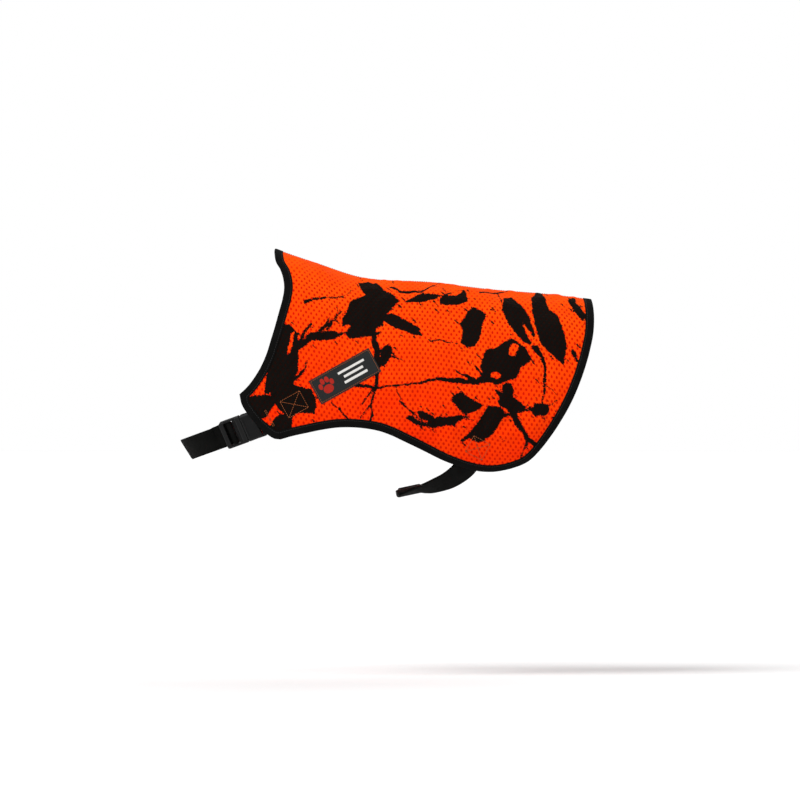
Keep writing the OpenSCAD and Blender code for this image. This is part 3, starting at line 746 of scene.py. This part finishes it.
def settle_cloth():
    """Cloth simulation of one slack side on the dog's body; returns how far each coarse grid point moves."""
    u = U_FIRST + COARSE * U_STEP * np.arange((U_COUNT - 1) // COARSE + 1)
    v = COARSE * V_STEP * np.arange((V_COUNT - 1) // COARSE + 1)
    angle = sheet_places(u, v)
    x = np.repeat(u[:, None], len(v), 1)
    flat = np.stack([x, np.repeat(v[None], len(u), 0)], -1).reshape(-1, 2)
    kept = inside(flat, flat_loop(rim_line(0.2, 2))) | (flat[:, 1] < 1e-6) & (u[0] < flat[:, 0])
    points = skin(x, angle, 1.5).reshape(-1, 3)
    faces = [f for f in grid_faces(len(u), len(v)) if kept[f].all()]
    used = np.unique(faces)
    number = np.full(len(points), -1)
    number[used] = np.arange(len(used))
    mesh = bpy.data.meshes.new("slack_side")
    mesh.from_pydata((points[used] * MM).tolist(), [], [[int(number[i]) for i in f] for f in faces])
    cloth = bpy.data.objects.new("slack_side", mesh)
    bpy.context.scene.collection.objects.link(cloth)
    pins = cloth.vertex_groups.new(name="pins")
    for i, weight in enumerate(stiff_zone(flat[used])):
        pins.add([i], float(weight), "REPLACE")
    # The body that it lies on
    rings, sides = 59, 72
    bx, ba = np.linspace(-300, 280, rings), np.linspace(0, 360, sides, endpoint=False)
    around = skin(np.repeat(bx[:, None], sides, 1), np.repeat(ba[None], rings, 0) % 360 - 180, -1.0)
    body_mesh = bpy.data.meshes.new("dog_body")
    body_mesh.from_pydata((around.reshape(-1, 3) * MM).tolist(), [], grid_faces(rings, sides, True))
    body = bpy.data.objects.new("dog_body", body_mesh)
    bpy.context.scene.collection.objects.link(body)
    bpy.context.view_layer.objects.active = body
    body.modifiers.new("Collision", "COLLISION")
    body.collision.thickness_outer = 1.2 * MM
    body.collision.cloth_friction = 12
    sim = cloth.modifiers.new("Cloth", "CLOTH")
    sim.settings.quality = 6
    sim.settings.mass = 0.0002
    sim.settings.tension_stiffness = 12
    sim.settings.compression_stiffness = 12
    sim.settings.shear_stiffness = 4
    sim.settings.bending_stiffness = 0.02
    sim.settings.vertex_group_mass = "pins"
    sim.settings.shrink_min = -0.04
    sim.collision_settings.distance_min = 1.0 * MM
    sim.collision_settings.use_self_collision = False
    scene = bpy.context.scene
    sim.point_cache.frame_start, sim.point_cache.frame_end = 1, SIM_STEPS
    for step in range(1, SIM_STEPS + 1):
        scene.frame_set(step)
    settled = cloth.evaluated_get(bpy.context.evaluated_depsgraph_get()).to_mesh()
    now = np.zeros(len(used) * 3)
    settled.vertices.foreach_get("co", now)
    scene.frame_set(1)
    out = np.zeros((len(points), 3))
    out[used] = now.reshape(-1, 3) / MM - points[used]
    for thing in (cloth, body):
        data = thing.data
        bpy.data.objects.remove(thing)
        bpy.data.meshes.remove(data)
    size = np.linalg.norm(out, axis=1, keepdims=True)
    out *= np.tanh(size / MOST_MOVE) * MOST_MOVE / np.maximum(size, 1e-6)
    return out.reshape(len(u), len(v), 3)


def spline_weights(count):
    """Weights that take coarse grid values to the fine grid, COARSE steps to each."""
    fine = (count - 1) * COARSE + 1
    out = np.zeros((fine, count))
    for i in range(fine):
        k, t = divmod(i, COARSE)
        t /= COARSE
        inner = [(3 * a ** 3 - 6 * a ** 2 + 4) / 6 for a in (t, 1 - t)]
        for j, w in zip((k - 1, k, k + 1, k + 2), ((1 - t) ** 3 / 6, *inner, t ** 3 / 6)):
            out[i, min(max(j, 0), count - 1)] += w
    return out


def creases(flat, hold, seed):
    """Small puckers along the bound edge and folds that fan out from the sewn webbing."""
    rng = np.random.default_rng(seed)
    line = flat_loop(rim_line(1.0, 4))
    gaps, along = to_segments(flat, line)
    run = run_along(line)
    nearest = gaps.argmin(1)
    rows = np.arange(len(flat))
    gap, s = gaps[rows, nearest], run[nearest] + along[rows, nearest] * np.diff(run)[nearest]
    phases = rng.uniform(0, 2 * math.pi, 3)
    wave = sum(np.sin(2 * math.pi * s / length + 1.5 * np.sin(s / 47 + phase) + phase)
               for length, phase in zip((19, 31, 53), phases)) / 3
    out = 1.3 * wave * np.exp(-gap / 14) * np.clip(gap / 5, 0, 1)
    for kind, high, lobes in (("girth", 3.4, 7.0), ("chest", 1.8, 6.0)):
        edge, angle, length = PATCHES[kind]
        centre = flat_side([patch_spot(edge, angle, length)])[0]
        start = flat_side([edge])[0]
        way = unit(centre - start)
        d = flat - centre
        r = np.linalg.norm(d, axis=1) + 1e-6
        turn = np.arctan2(d[:, 0] * way[1] - d[:, 1] * way[0], d @ way)
        fan = np.cos(lobes * turn + rng.uniform(0, 1)) * np.clip(1.5 - np.abs(turn), 0, 1)
        out += high * fan * np.exp(-r / 75) * np.clip((r - 6) / 24, 0, 1)
    return out * (1 - hold)


def fabric_panel(way, slack, material, seed):
    """The left or right side of dimpled knit: a thin closed sheet whose raw edge lies inside the binding."""
    u = U_FIRST + U_STEP * np.arange(U_COUNT)
    v = V_STEP * np.arange(V_COUNT)
    angle = sheet_places(u, v)
    x = np.repeat(u[:, None], V_COUNT, 1)
    flat = np.stack([x, np.repeat(v[None], U_COUNT, 0)], -1).reshape(-1, 2)
    loop = flat_loop(rim_line(TRIM, 3))
    centre = flat + [U_STEP / 2, V_STEP / 2]
    cells = np.array(grid_faces(U_COUNT, V_COUNT))
    cells = cells[inside(centre[cells[:, 0]], loop)]
    used = np.unique(cells)
    number = np.full(len(flat), -1)
    number[used] = np.arange(len(used))
    cells = number[cells]
    x, angle, flat = x.reshape(-1)[used], angle.reshape(-1)[used], flat[used]
    hold = stiff_zone(flat)
    shift = np.stack([spline_weights(slack.shape[0]) @ slack[..., k] @ spline_weights(slack.shape[1]).T
                      for k in range(3)], -1).reshape(-1, 3)[used]
    n = outward(x, angle)
    dent = 0.6 * dimple_depth(flat[:, 0], flat[:, 1]) * (0.35 + 0.65 * np.clip((flat[:, 1] - 18) / 60, 0, 1))
    valley = 1.0 * np.exp(-(flat[:, 1] / 1.6) ** 2)
    crease = creases(flat, hold, seed) - valley
    body = torso(x, angle) + shift * (1 - hold[:, None])
    outer = body + (FABRIC_OUT + crease - dent)[:, None] * n
    inner = body + (FABRIC_IN + crease - 0.4 * dent)[:, None] * n
    edges = np.concatenate([cells[:, [0, 1]], cells[:, [1, 2]], cells[:, [2, 3]], cells[:, [3, 0]]])
    key = np.sort(edges, 1)
    _, first, count = np.unique(key[:, 0] * len(used) + key[:, 1], return_index=True, return_counts=True)
    rim = edges[first[count == 1]]
    total = len(used)
    faces = np.concatenate([cells, cells[:, ::-1] + total,
                            np.stack([rim[:, 1], rim[:, 0], rim[:, 0] + total, rim[:, 1] + total], 1)])
    # The other side is cut from another stretch of the same cloth
    printed = flat if way == "left" else PRINT_TURN - flat
    distance = np.concatenate([print_distance(printed), np.full(total, ALL_ORANGE)])
    parts = Parts()
    cloth = np.column_stack([np.tile(flat, (2, 1)), np.zeros(2 * total)])
    parts.add(np.concatenate([outer, inner]), faces.tolist(), cloth)
    if way == "right":
        parts.mirror()
    values = {"print": distance}
    return make_piece(f"{way}_mesh_panel", parts, [material], "vest", [f"{way}_panel"], values)


# ---- binding, folded over the edge ----
LIP = BINDING_THICK / 2
# (share of the width from the rim inwards, height over the middle of the fabric)
FOLD = [(1.0, 0.5), (1.0, LIP - 0.35), (0.975, LIP - 0.1), (0.93, LIP), (0.86, LIP - 0.02),
        (0.79, LIP - 0.28), (0.72, LIP), (0.5, LIP + 0.08), (0.25, LIP + 0.05), (0.1, LIP - 0.1),
        (0.03, LIP - 0.5), (0.0, 0.45)]
STITCH_SHARE = 0.79
STITCH = 3.2
BINDING_DENSE = 7


def binding_piece(where, first, last, tape, thread):
    """Folded tape along the rim from one coarse step to another, with its line of stitches on both faces.

    The neck and the hem have one tape each, round both sides of the dog.
    """
    both_sides = where in ("neck", "hem")
    rim, seam = finer(RIM[first:last + 1], BINDING_DENSE), finer(SEAM[first:last + 1], BINDING_DENSE)
    parts = Parts()
    share, height = np.array(FOLD + [(s, -h) for s, h in reversed(FOLD)]).T
    p = rim[:, None] + share[None, :, None] * (seam - rim)[:, None]
    run = run_along(torso(*rim.T))
    # The tape puckers between stitches and waves a little where the edge curves
    near_stitch = np.exp(-((share - STITCH_SHARE) / 0.16) ** 2)
    pucker = 0.12 * np.cos(2 * math.pi * run / STITCH)[:, None] * near_stitch[None]
    wave = 0.18 * np.sin(run / 6.1)[:, None] * np.sin(run / 17 + 1)[:, None] * (1 - share)[None]
    off = height[None] + np.sign(height)[None] * pucker + wave
    points = skin(p[..., 0], p[..., 1], off)
    cloth = np.zeros_like(points)
    cloth[..., 0] = run[:, None]
    cloth[..., 1] = (share * BINDING * np.sign(height))[None]
    n, m = points.shape[:2]
    faces = [f[::-1] for f in grid_faces(n, m, True)]
    caps = [list(range(m)), [(n - 1) * m + j for j in range(m)][::-1]]
    # An end on the centre plane stays open, to join its mirror image
    shut = [cap for cap, step in zip(caps, (first, last)) if step not in (0, RIM_END)]
    parts.add(points.reshape(-1, 3), faces + shut, cloth.reshape(-1, 3))
    for face in (1, -1):
        line = rim + STITCH_SHARE * (seam - rim)
        stitches(parts, skin(*line.T, face * (LIP - 0.28)), face * outward(*line.T), STITCH, slot=1)
    if both_sides:
        parts.add_mirrored()
    if where.startswith("right"):
        parts.mirror()
    name, cad_node = f"{where}_edge_binding", f"{where}_binding"
    piece = make_piece(name, parts, [tape, thread], "vest", [cad_node])
    if both_sides:
        weld(piece)
    return piece


def weld(piece):
    """Joins the two halves where they meet on the centre plane."""
    work = bmesh.new()
    work.from_mesh(piece.data)
    middle_points = [v for v in work.verts if abs(v.co.y) < 0.02 * MM]
    bmesh.ops.remove_doubles(work, verts=middle_points, dist=0.05 * MM)
    work.to_mesh(piece.data)
    work.free()


# ---- seam tape inside the spine, and the seam's stitches ----
def spine_tape(tape, thread):
    """The tape inside the spine, with the seam's stitches inside and out."""
    first, last = SEAM[0, 0] + 1.2, SEAM[-1, 0] - 1.2
    x = np.linspace(first, last, 220)
    thick, width = 0.9, 14.0
    depth = 0.9 + thick / 2 + 1.7
    centres = skin(x, 0 * x, -depth)
    across = np.tile([0, 1, 0], (len(x), 1))
    parts = Parts()
    sweep(parts, centres, across, web_section(width, thick, 10))
    for y in (-1, 1):
        turn = np.degrees(5.0 / profile(HALF_WIDTH, x)) * y
        line = skin(x, turn, FABRIC_OUT + 0.05)
        stitches(parts, line, outward(x, turn), STITCH, slot=1)
        under = centres + [0, 5.0 * y, -thick / 2]
        stitches(parts, under, np.tile([0, 0, -1.0], (len(x), 1)), STITCH, slot=1)
    make_piece("spine_tape_and_seam", parts, [tape, thread], "vest", ["back_seam_tape"])


# ---- label ----
PAW_PADS = [(0.0, -4.2, 7.4, 6.0), (-8.6, 3.0, 3.0, 4.2), (-3.4, 8.6, 3.0, 4.4), (3.4, 8.6, 3.0, 4.4),
            (8.6, 3.0, 3.0, 4.2)]
BARS = [(-7.0, 7.6, 41.0, 3.4), (-1.5, 0.0, 30.0, 3.4), (-4.5, -7.6, 36.0, 3.4)]
PAW_AT = -28.0


def label_piece(material, thread):
    """Woven label: a paw and three plain bars, raised by their yarns, with rounded edges."""
    n, m = 150, 60
    a = LABEL_LENGTH * (np.linspace(0, 1, n) - 0.5)
    b = LABEL_WIDTH * (0.5 - np.linspace(0, 1, m))
    aa, bb = np.meshgrid(a, b, indexing="ij")
    flat = np.stack([aa, bb], -1).reshape(-1, 2)
    paw = np.min([(np.hypot((flat[:, 0] - PAW_AT - x) / rx, (flat[:, 1] - y) / ry) - 1) * min(rx, ry)
                  for x, y, rx, ry in PAW_PADS], 0)
    bars = np.min([np.maximum(np.abs(flat[:, 0] - x - length / 2) - length / 2,
                              np.abs(flat[:, 1] - y) - high / 2) for x, y, length, high in BARS], 0)
    raised = 0.16 * np.clip(-np.minimum(paw, bars) / 0.5, 0, 1)
    edge = np.minimum(LABEL_LENGTH / 2 - np.abs(flat[:, 0]), LABEL_WIDTH / 2 - np.abs(flat[:, 1]))
    rounded = 0.35 * np.clip(1 - edge / 0.8, 0, 1) ** 2
    line = 0.18 * np.exp(-((edge - 2) / 0.7) ** 2)
    spots = patch_spot(LABEL_CENTRE, LABEL_ANGLE, flat[:, 0], flat[:, 1])
    top = side(*spots.T, LABEL_OFF + LABEL_THICK - 0.15 + raised - rounded - line)
    low = side(*spots.T, LABEL_OFF - 0.1)
    count = n * m
    faces = [f[::-1] for f in grid_faces(n, m)]
    faces += [[i + count for i in f] for f in grid_faces(n, m)]
    ring = ([(i, 0) for i in range(n - 1)] + [(n - 1, j) for j in range(m - 1)]
            + [(i, m - 1) for i in range(n - 1, 0, -1)] + [(0, j) for j in range(m - 1, 0, -1)])
    ring = [i * m + j for i, j in ring]
    faces += [[p, q, q + count, p + count] for p, q in zip(ring, ring[1:] + ring[:1])]
    parts = Parts()
    cloth = np.column_stack([np.tile(flat, (2, 1)), np.zeros(2 * count)])
    parts.add(np.concatenate([top, low]), faces, cloth)
    values = {"paw": np.tile(paw, 2), "bars": np.tile(bars, 2)}
    label = make_piece("woven_label_paw", parts, [material], "vest", ["woven_label"], values)
    sewn = Parts()
    x, y = LABEL_LENGTH / 2 - 2, LABEL_WIDTH / 2 - 2
    corners = [(-x, -y), (x, -y), (x, y), (-x, y), (-x, -y)]
    for p, q in zip(corners, corners[1:]):
        run = np.linspace(p, q, 40)
        spots = patch_spot(LABEL_CENTRE, LABEL_ANGLE, run[:, 0], run[:, 1])
        stitches(sewn, side(*spots.T, LABEL_OFF + LABEL_THICK - 0.2), outward(*place(*spots.T)), 3.0)
    make_piece("label_threads", sewn, [thread], "vest", ["label_stitching"])
    return label


# ---- box stitches through webbing and fabric ----
def thread_lines(kind):
    """Lines in a patch's own (along, across) frame."""
    high = WEB_WIDTH / 2 - 3
    start, end = (CHEST_PATCH - 34, CHEST_PATCH - 3) if kind == "chest" else (14, GIRTH_PATCH - 3)
    box = [(start, -high), (end, -high), (end, high), (start, high)]
    lines = list(zip(box, box[1:] + box[:1])) + [(box[0], box[2]), (box[1], box[3])]
    if kind == "chest":
        lines += [((13, -high), (13, high)), ((15, high), (15, -high))]
    return lines


def box_stitches(way, kind, thread):
    """The stitching that holds one webbing patch to the fabric."""
    edge, angle, _ = PATCHES[kind]
    parts = Parts()
    for p, q in thread_lines(kind):
        run = np.linspace(p, q, 24)
        spots = patch_spot(edge, angle, run[:, 0], run[:, 1])
        stitches(parts, side(*spots.T, FABRIC_OUT + 0.1), outward(*place(*spots.T)), 2.8, radius=0.36)
    if way == "right":
        parts.mirror()
    make_piece(f"{way}_{kind}_threads", parts, [thread], "vest", [f"{way}_{kind}_stitching"])


# ---- webbing, on the same routes as the CAD model ----
CHEST_SLOPE, CHEST_TURN, CHEST_LEAN, GIRTH_SLOPE = 20, 14, 12, 12
BAR_R, BAR_DEPTH = 2.2, 11.2
PER_STATION = 4
LADDER_X, LADDER_R = 44.8, 1.9
GAP = 0.2
LAYER = BINDING_THICK / 2 + 1.1 + WEB_THICK / 2
LAYER_STEP = WEB_THICK + GAP
LOOP_R = BAR_R + 0.3 + WEB_THICK / 2
LOOP_LEAD = 7


def turned(axis, degrees, v):
    """v turned about the x, y or z axis."""
    i, j = {"x": (1, 2), "y": (2, 0), "z": (0, 1)}[axis]
    c, s = math.cos(math.radians(degrees)), math.sin(math.radians(degrees))
    out = np.array(v, float)
    out[..., i], out[..., j] = out[..., i] * c - out[..., j] * s, out[..., i] * s + out[..., j] * c
    return out


def chest_way(v):
    """A direction in the chest buckle's frame, turned into the vest's."""
    return turned("y", -CHEST_SLOPE, turned("z", 180 - CHEST_TURN, turned("x", -CHEST_LEAN, v)))


def girth_way(v):
    """A direction in the girth buckle's frame, turned into the vest's."""
    return turned("y", -GIRTH_SLOPE, turned("z", 90, turned("x", -90, v)))


CHEST_BAR = side(-225.0, -61.0, -BAR_DEPTH)
GIRTH_BAR = np.array([-14.0, -30.0, -156.0])
ACROSS = np.array([0.0, 0.0, 1.0])


def in_buckle(points, bar, way):
    """Stations for (x, y) points in a buckle's own frame."""
    points = np.array([[x, y, 0.0] for x, y in points])
    return [(bar + way(p), way(ACROSS)) for p in points]


def arc(centre, radius, start, stop, step):
    """Points on an arc about (centre, 0)."""
    angles = np.radians(np.arange(start, stop + step / 2, step))
    return [(centre + radius * math.cos(a), radius * math.sin(a)) for a in angles]


BAR_LOOP = [(-LOOP_LEAD, LOOP_R), *arc(0, LOOP_R, 90, -90, -22.5), (-LOOP_LEAD, -LOOP_R)]
LADDER_LOOP = [(68, -3.8), (60, -3.8), (54, -3.8), (50.8, -3.2),
               *arc(LADDER_X, LADDER_R + 0.4 + WEB_THICK / 2, -25, 205, 25),
               (41.9, -3.4), (43.4, -5.4), (47, -6.1), (54, -6.1), (60, -6.1)]


def web_section(width, thick, count=14):
    """A webbing's section: flat faces with a rounded, slightly thicker woven edge."""
    w, t = width / 2, thick / 2
    top = []
    for s in np.linspace(-1, 1, count):
        rim = 0.12 * math.exp(-((abs(s) * w - (w - 1.4)) / 0.8) ** 2)
        end = math.sqrt(max(0.0, 1 - max(0.0, (abs(s) * w - (w - t)) / t) ** 2))
        top.append((s * (w - 0.02), (t + rim) * max(end, 0.25)))
    return top + [(x, -y) for x, y in reversed(top)]


def web_path(stations):
    """A webbing's smooth centre line and its ways across, PER_STATION steps to each station."""
    across = finer([way for _, way in stations], PER_STATION)
    return finer([centre for centre, _ in stations], PER_STATION), unit(across)


def chest_tab_stations():
    """From the sewn end round the socket's bar and back."""
    along = 6 + (CHEST_PATCH - 6) * np.arange(9) / 8
    outer_run = list(zip(*patch_station(CHEST_EDGE, CHEST_PATCH_ANGLE, along, -LAYER)))
    inner_run = list(zip(*patch_station(CHEST_EDGE, CHEST_PATCH_ANGLE, along, -LAYER - LAYER_STEP)))
    return outer_run[::-1] + in_buckle(BAR_LOOP, CHEST_BAR, chest_way) + inner_run[2:]


CHEST_FRONT = [(82, -55.5), (103, -33), (113.5, 0), (105, 33), (86, 54), (60, 68), (34, 75)]
CHEST_STEPS = 36
TAIL_GAP = 2.3


def chest_point(p, q):
    """A point in the sloping plane that the chest strap runs in."""
    return CHEST_BAR + turned("y", -CHEST_SLOPE, [-p, q - CHEST_BAR[1], 0.0])


def chest_plane(v):
    """The same plane's coordinates of a point."""
    w = turned("y", CHEST_SLOPE, v - CHEST_BAR)
    return np.array([-w[0], w[1] + CHEST_BAR[1]])


def chest_across(way):
    """The strap's way across, leaning with the chest."""
    lean = math.radians(CHEST_LEAN)
    inwards = unit(np.array([-way[1], -way[0], 0.0]))
    return turned("y", -CHEST_SLOPE, math.cos(lean) * ACROSS + math.sin(lean) * inwards)


def chest_strap_stations():
    """From the sewn end on the right, round the front, through the plug and to the strap's tail."""
    through = in_buckle(LADDER_LOOP, CHEST_BAR, chest_way)
    along = CHEST_PATCH - (CHEST_PATCH + 14) * np.arange(11) / 10
    centres, ways = patch_station(CHEST_EDGE, CHEST_PATCH_ANGLE, along, -LAYER)
    sewn = list(zip(centres * FLIP, ways * FLIP))
    route = curve([chest_plane(through[0][0]), *CHEST_FRONT, chest_plane(sewn[10][0])], CHEST_STEPS,
                  chest_plane(through[1][0]), chest_plane(sewn[9][0]))
    heading = unit(route[2:] - route[:-2])
    turning = 10
    front = []
    for i in range(1, CHEST_STEPS):
        f = max(0, (i - CHEST_STEPS + turning) / turning)
        front.append((chest_point(*route[i]), unit((1 - f) * chest_across(heading[i - 1]) + f * sewn[10][1])))
    tail = []
    for (centre, way), (p, q) in zip(front[:7], heading):
        tail.append((centre + turned("y", -CHEST_SLOPE, TAIL_GAP * np.array([q, p, 0.0])), way))
    return sewn, front, through, tail


GIRTH_STEPS = 16
GIRTH_START = -6


def girth_sewn(along):
    """The girth webbing's station, sewn inside the hem."""
    return patch_station(GIRTH_EDGE, GIRTH_PATCH_ANGLE, along, -LAYER)


def girth_facing(u):
    """The way the girth webbing faces, from the hem (0) to the buckle (1)."""
    edge = outward(*place(*map(float, GIRTH_EDGE)))
    return unit((1 - u) * edge + u * girth_way([0.0, 1.0, 0.0]))


def girth_run(end):
    """Stations from the hem to a buckle."""
    route = curve([girth_sewn(GIRTH_START)[0], [44, -67, -139], [21, -63, -149], [3, -58, -154.5],
                   [-9, -49, -157.5], end], GIRTH_STEPS, girth_sewn(GIRTH_START + 30)[0],
                  end + girth_way([11.0, 0.0, 0.0]))
    return [(route[i], unit(np.cross(route[i + 1] - route[max(i - 1, 0)], girth_facing(i / GIRTH_STEPS))))
            for i in range(GIRTH_STEPS)]


def girth_sewn_part():
    """Stations from the webbing's end to the hem."""
    return [girth_sewn(GIRTH_START + (GIRTH_PATCH - GIRTH_START) * i / 4) for i in (4, 3, 2, 1)]


def girth_tab_stations():
    """From the sewn end round the socket's bar and back."""
    loop = in_buckle(BAR_LOOP, GIRTH_BAR, girth_way)
    run = girth_run(loop[0][0])
    back = []
    for i in range(1, 7):
        centre, way = run[GIRTH_STEPS - i]
        drop = LAYER_STEP + (2 * LOOP_R - LAYER_STEP) * max(0, 1 - i / 3)
        back.append((centre - drop * girth_facing(1 - i / GIRTH_STEPS), way))
    return girth_sewn_part() + run + loop + back


def girth_strap_stations():
    """From the sewn end on the right to the plug."""
    through = in_buckle(LADDER_LOOP, GIRTH_BAR, girth_way)
    run = [(p * FLIP, w * FLIP) for p, w in girth_run(through[0][0] * FLIP)]
    sewn = [(p * FLIP, w * FLIP) for p, w in girth_sewn_part()]
    return sewn, run, through


def tab(where, stations, material):
    """A short folded length of webbing that holds a buckle's socket."""
    parts = Parts()
    sweep(parts, *web_path(stations), web_section(WEB_WIDTH, WEB_THICK))
    make_piece(f"{where}_tab_webbing", parts, [material], "vest", [f"{where}_tab"])


def strap(where, stations, cut, material):
    """A strap in two pieces: one runs from the vest to the swivelling socket, the other on to the plug.

    The first runs from the start to the station cut, the second from there on to the end.
    """
    centres, across = web_path(stations)
    section = web_section(WEB_WIDTH, WEB_THICK)
    first, second = Parts(), Parts()
    k = cut * PER_STATION
    run = sweep(first, centres, across, section, 0, k + 1)
    sweep(second, centres, across, section, k, None, run)
    cad_node = [f"{where}_strap"]
    near_vest = make_piece(f"{where}_strap_webbing", first, [material], None, cad_node)
    near_plug = make_piece(f"{where}_strap_adjuster_end", second, [material], None, cad_node)
    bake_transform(near_vest)
    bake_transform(near_plug)


def webbing(material):
    """All four lengths of webbing."""
    tab("chest", chest_tab_stations(), material)
    tab("girth", girth_tab_stations(), material)
    sewn, front, through, tail = chest_strap_stations()
    hem = len(sewn)
    strap("chest", sewn + front[::-1] + through + tail, hem + len(front) - 17, material)
    sewn, run, through = girth_strap_stations()
    hem = len(sewn)
    strap("girth", sewn + run + through, hem + len(run) - 10, material)


# ---- stage ----
FLOOR, FLOOR_HALF = -0.417, 40.0
VIEW_WIDTH = 1.12
LENS, SENSOR = 300.0, 36.0
NEAR_SIDE = -0.05


def sun_light(name, way, softness, strength):
    """A distant soft light from a given way."""
    data = bpy.data.lights.new(name, "SUN")
    data.angle = math.radians(softness)
    data.energy = strength
    lamp = bpy.data.objects.new(name, data)
    lamp.rotation_euler = way.to_track_quat("Z", "Y").to_euler()
    bpy.context.scene.collection.objects.link(lamp)


def stage():
    """A pale floor, soft light all round and a long-lens camera square to the dog's left side."""
    scene = bpy.context.scene
    scene.view_settings.view_transform = "Standard"
    world = bpy.data.worlds.new("studio")
    scene.world = world
    world.use_nodes = True
    tree = world.node_tree
    # White round the horizon and dimmer overhead, so that the key light shapes the folds
    height = node(tree, "ShaderNodeSeparateXYZ",
                  {"Vector": node(tree, "ShaderNodeTexCoord").outputs["Generated"]}).outputs[2]
    dimmer = smooth_step(tree, sums(tree, "ABSOLUTE", height), 0.12, 0.5, 1.0, 0.55)
    tree.links.new(dimmer, tree.nodes["Background"].inputs["Strength"])
    tree.nodes["Background"].inputs["Color"].default_value = rgb(1.0, 1.0, 1.0)
    mesh = bpy.data.meshes.new("floor")
    corners = [(-1, -1), (1, -1), (1, 1), (-1, 1)]
    mesh.from_pydata([(FLOOR_HALF * x, FLOOR_HALF * y, FLOOR) for x, y in corners], [], [[0, 1, 2, 3]])
    floor = bpy.data.objects.new("floor", mesh)
    scene.collection.objects.link(floor)
    material, tree, shader = new_material("floor_paper", Roughness=0.9, Specular_IOR_Level=0.1)
    where = node(tree, "ShaderNodeTexCoord").outputs["Object"]
    colour = mixed(tree, noise(tree, where, 3.0), rgb(0.90, 0.90, 0.90), rgb(0.93, 0.93, 0.93))
    tree.links.new(colour, shader.inputs["Base Color"])
    mesh.materials.append(material)
    sun_light("key", Vector((-0.45, -0.50, 0.80)), 25, 1.9)
    sun_light("back", Vector((0.30, 0.60, 0.75)), 40, 0.5)
    camera = bpy.data.objects.new("camera", bpy.data.cameras.new("camera"))
    camera.data.lens = LENS
    camera.data.sensor_width = SENSOR
    camera.data.dof.use_dof = False
    camera.data.clip_end = 100
    distance = VIEW_WIDTH * LENS / SENSOR
    camera.location = (-0.028, NEAR_SIDE - distance, -0.028)
    camera.rotation_euler = (math.pi / 2, 0, 0)
    scene.collection.objects.link(camera)
    scene.camera = camera


def main():
    """Builds the whole picture and every piece of the vest."""
    stage()
    blaze = blaze_material()
    binding = tape_material("binding_tape_twill", rgb(0.0030, 0.0029, 0.0028), rgb(0.0075, 0.0073, 0.0070),
                            1.1)
    web = tape_material("webbing_weave", rgb(0.0030, 0.0030, 0.0028), rgb(0.0095, 0.0094, 0.0088), 1.9, 0.8)
    black_thread = thread_material("thread_black", rgb(0.008, 0.008, 0.008), rgb(0.026, 0.026, 0.027))
    brown_thread = thread_material("thread_brown", rgb(0.19, 0.048, 0.012), rgb(0.42, 0.12, 0.034))
    plastic = plastic_material()

    slack = settle_cloth()
    left = fabric_panel("left", slack, blaze, 11)
    right = fabric_panel("right", slack, blaze, 23)
    neck = binding_piece("neck", 0, CORNER_C, binding, black_thread)
    hem = binding_piece("hem", CORNER_D, RIM_END, binding, black_thread)
    fronts = [binding_piece(f"{way}_front", CORNER_C, CORNER_D, binding, black_thread)
              for way in ("left", "right")]
    spine_tape(binding, black_thread)
    label = label_piece(label_material(), brown_thread)
    for way in ("left", "right"):
        for kind in PATCHES:
            box_stitches(way, kind, brown_thread)
    webbing(web)
    for name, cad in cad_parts.items():
        if name.startswith(("chest_", "girth_")) and not name.endswith(("_tab", "_strap")):
            cad.data.materials.clear()
            cad.data.materials.append(plastic)


main()
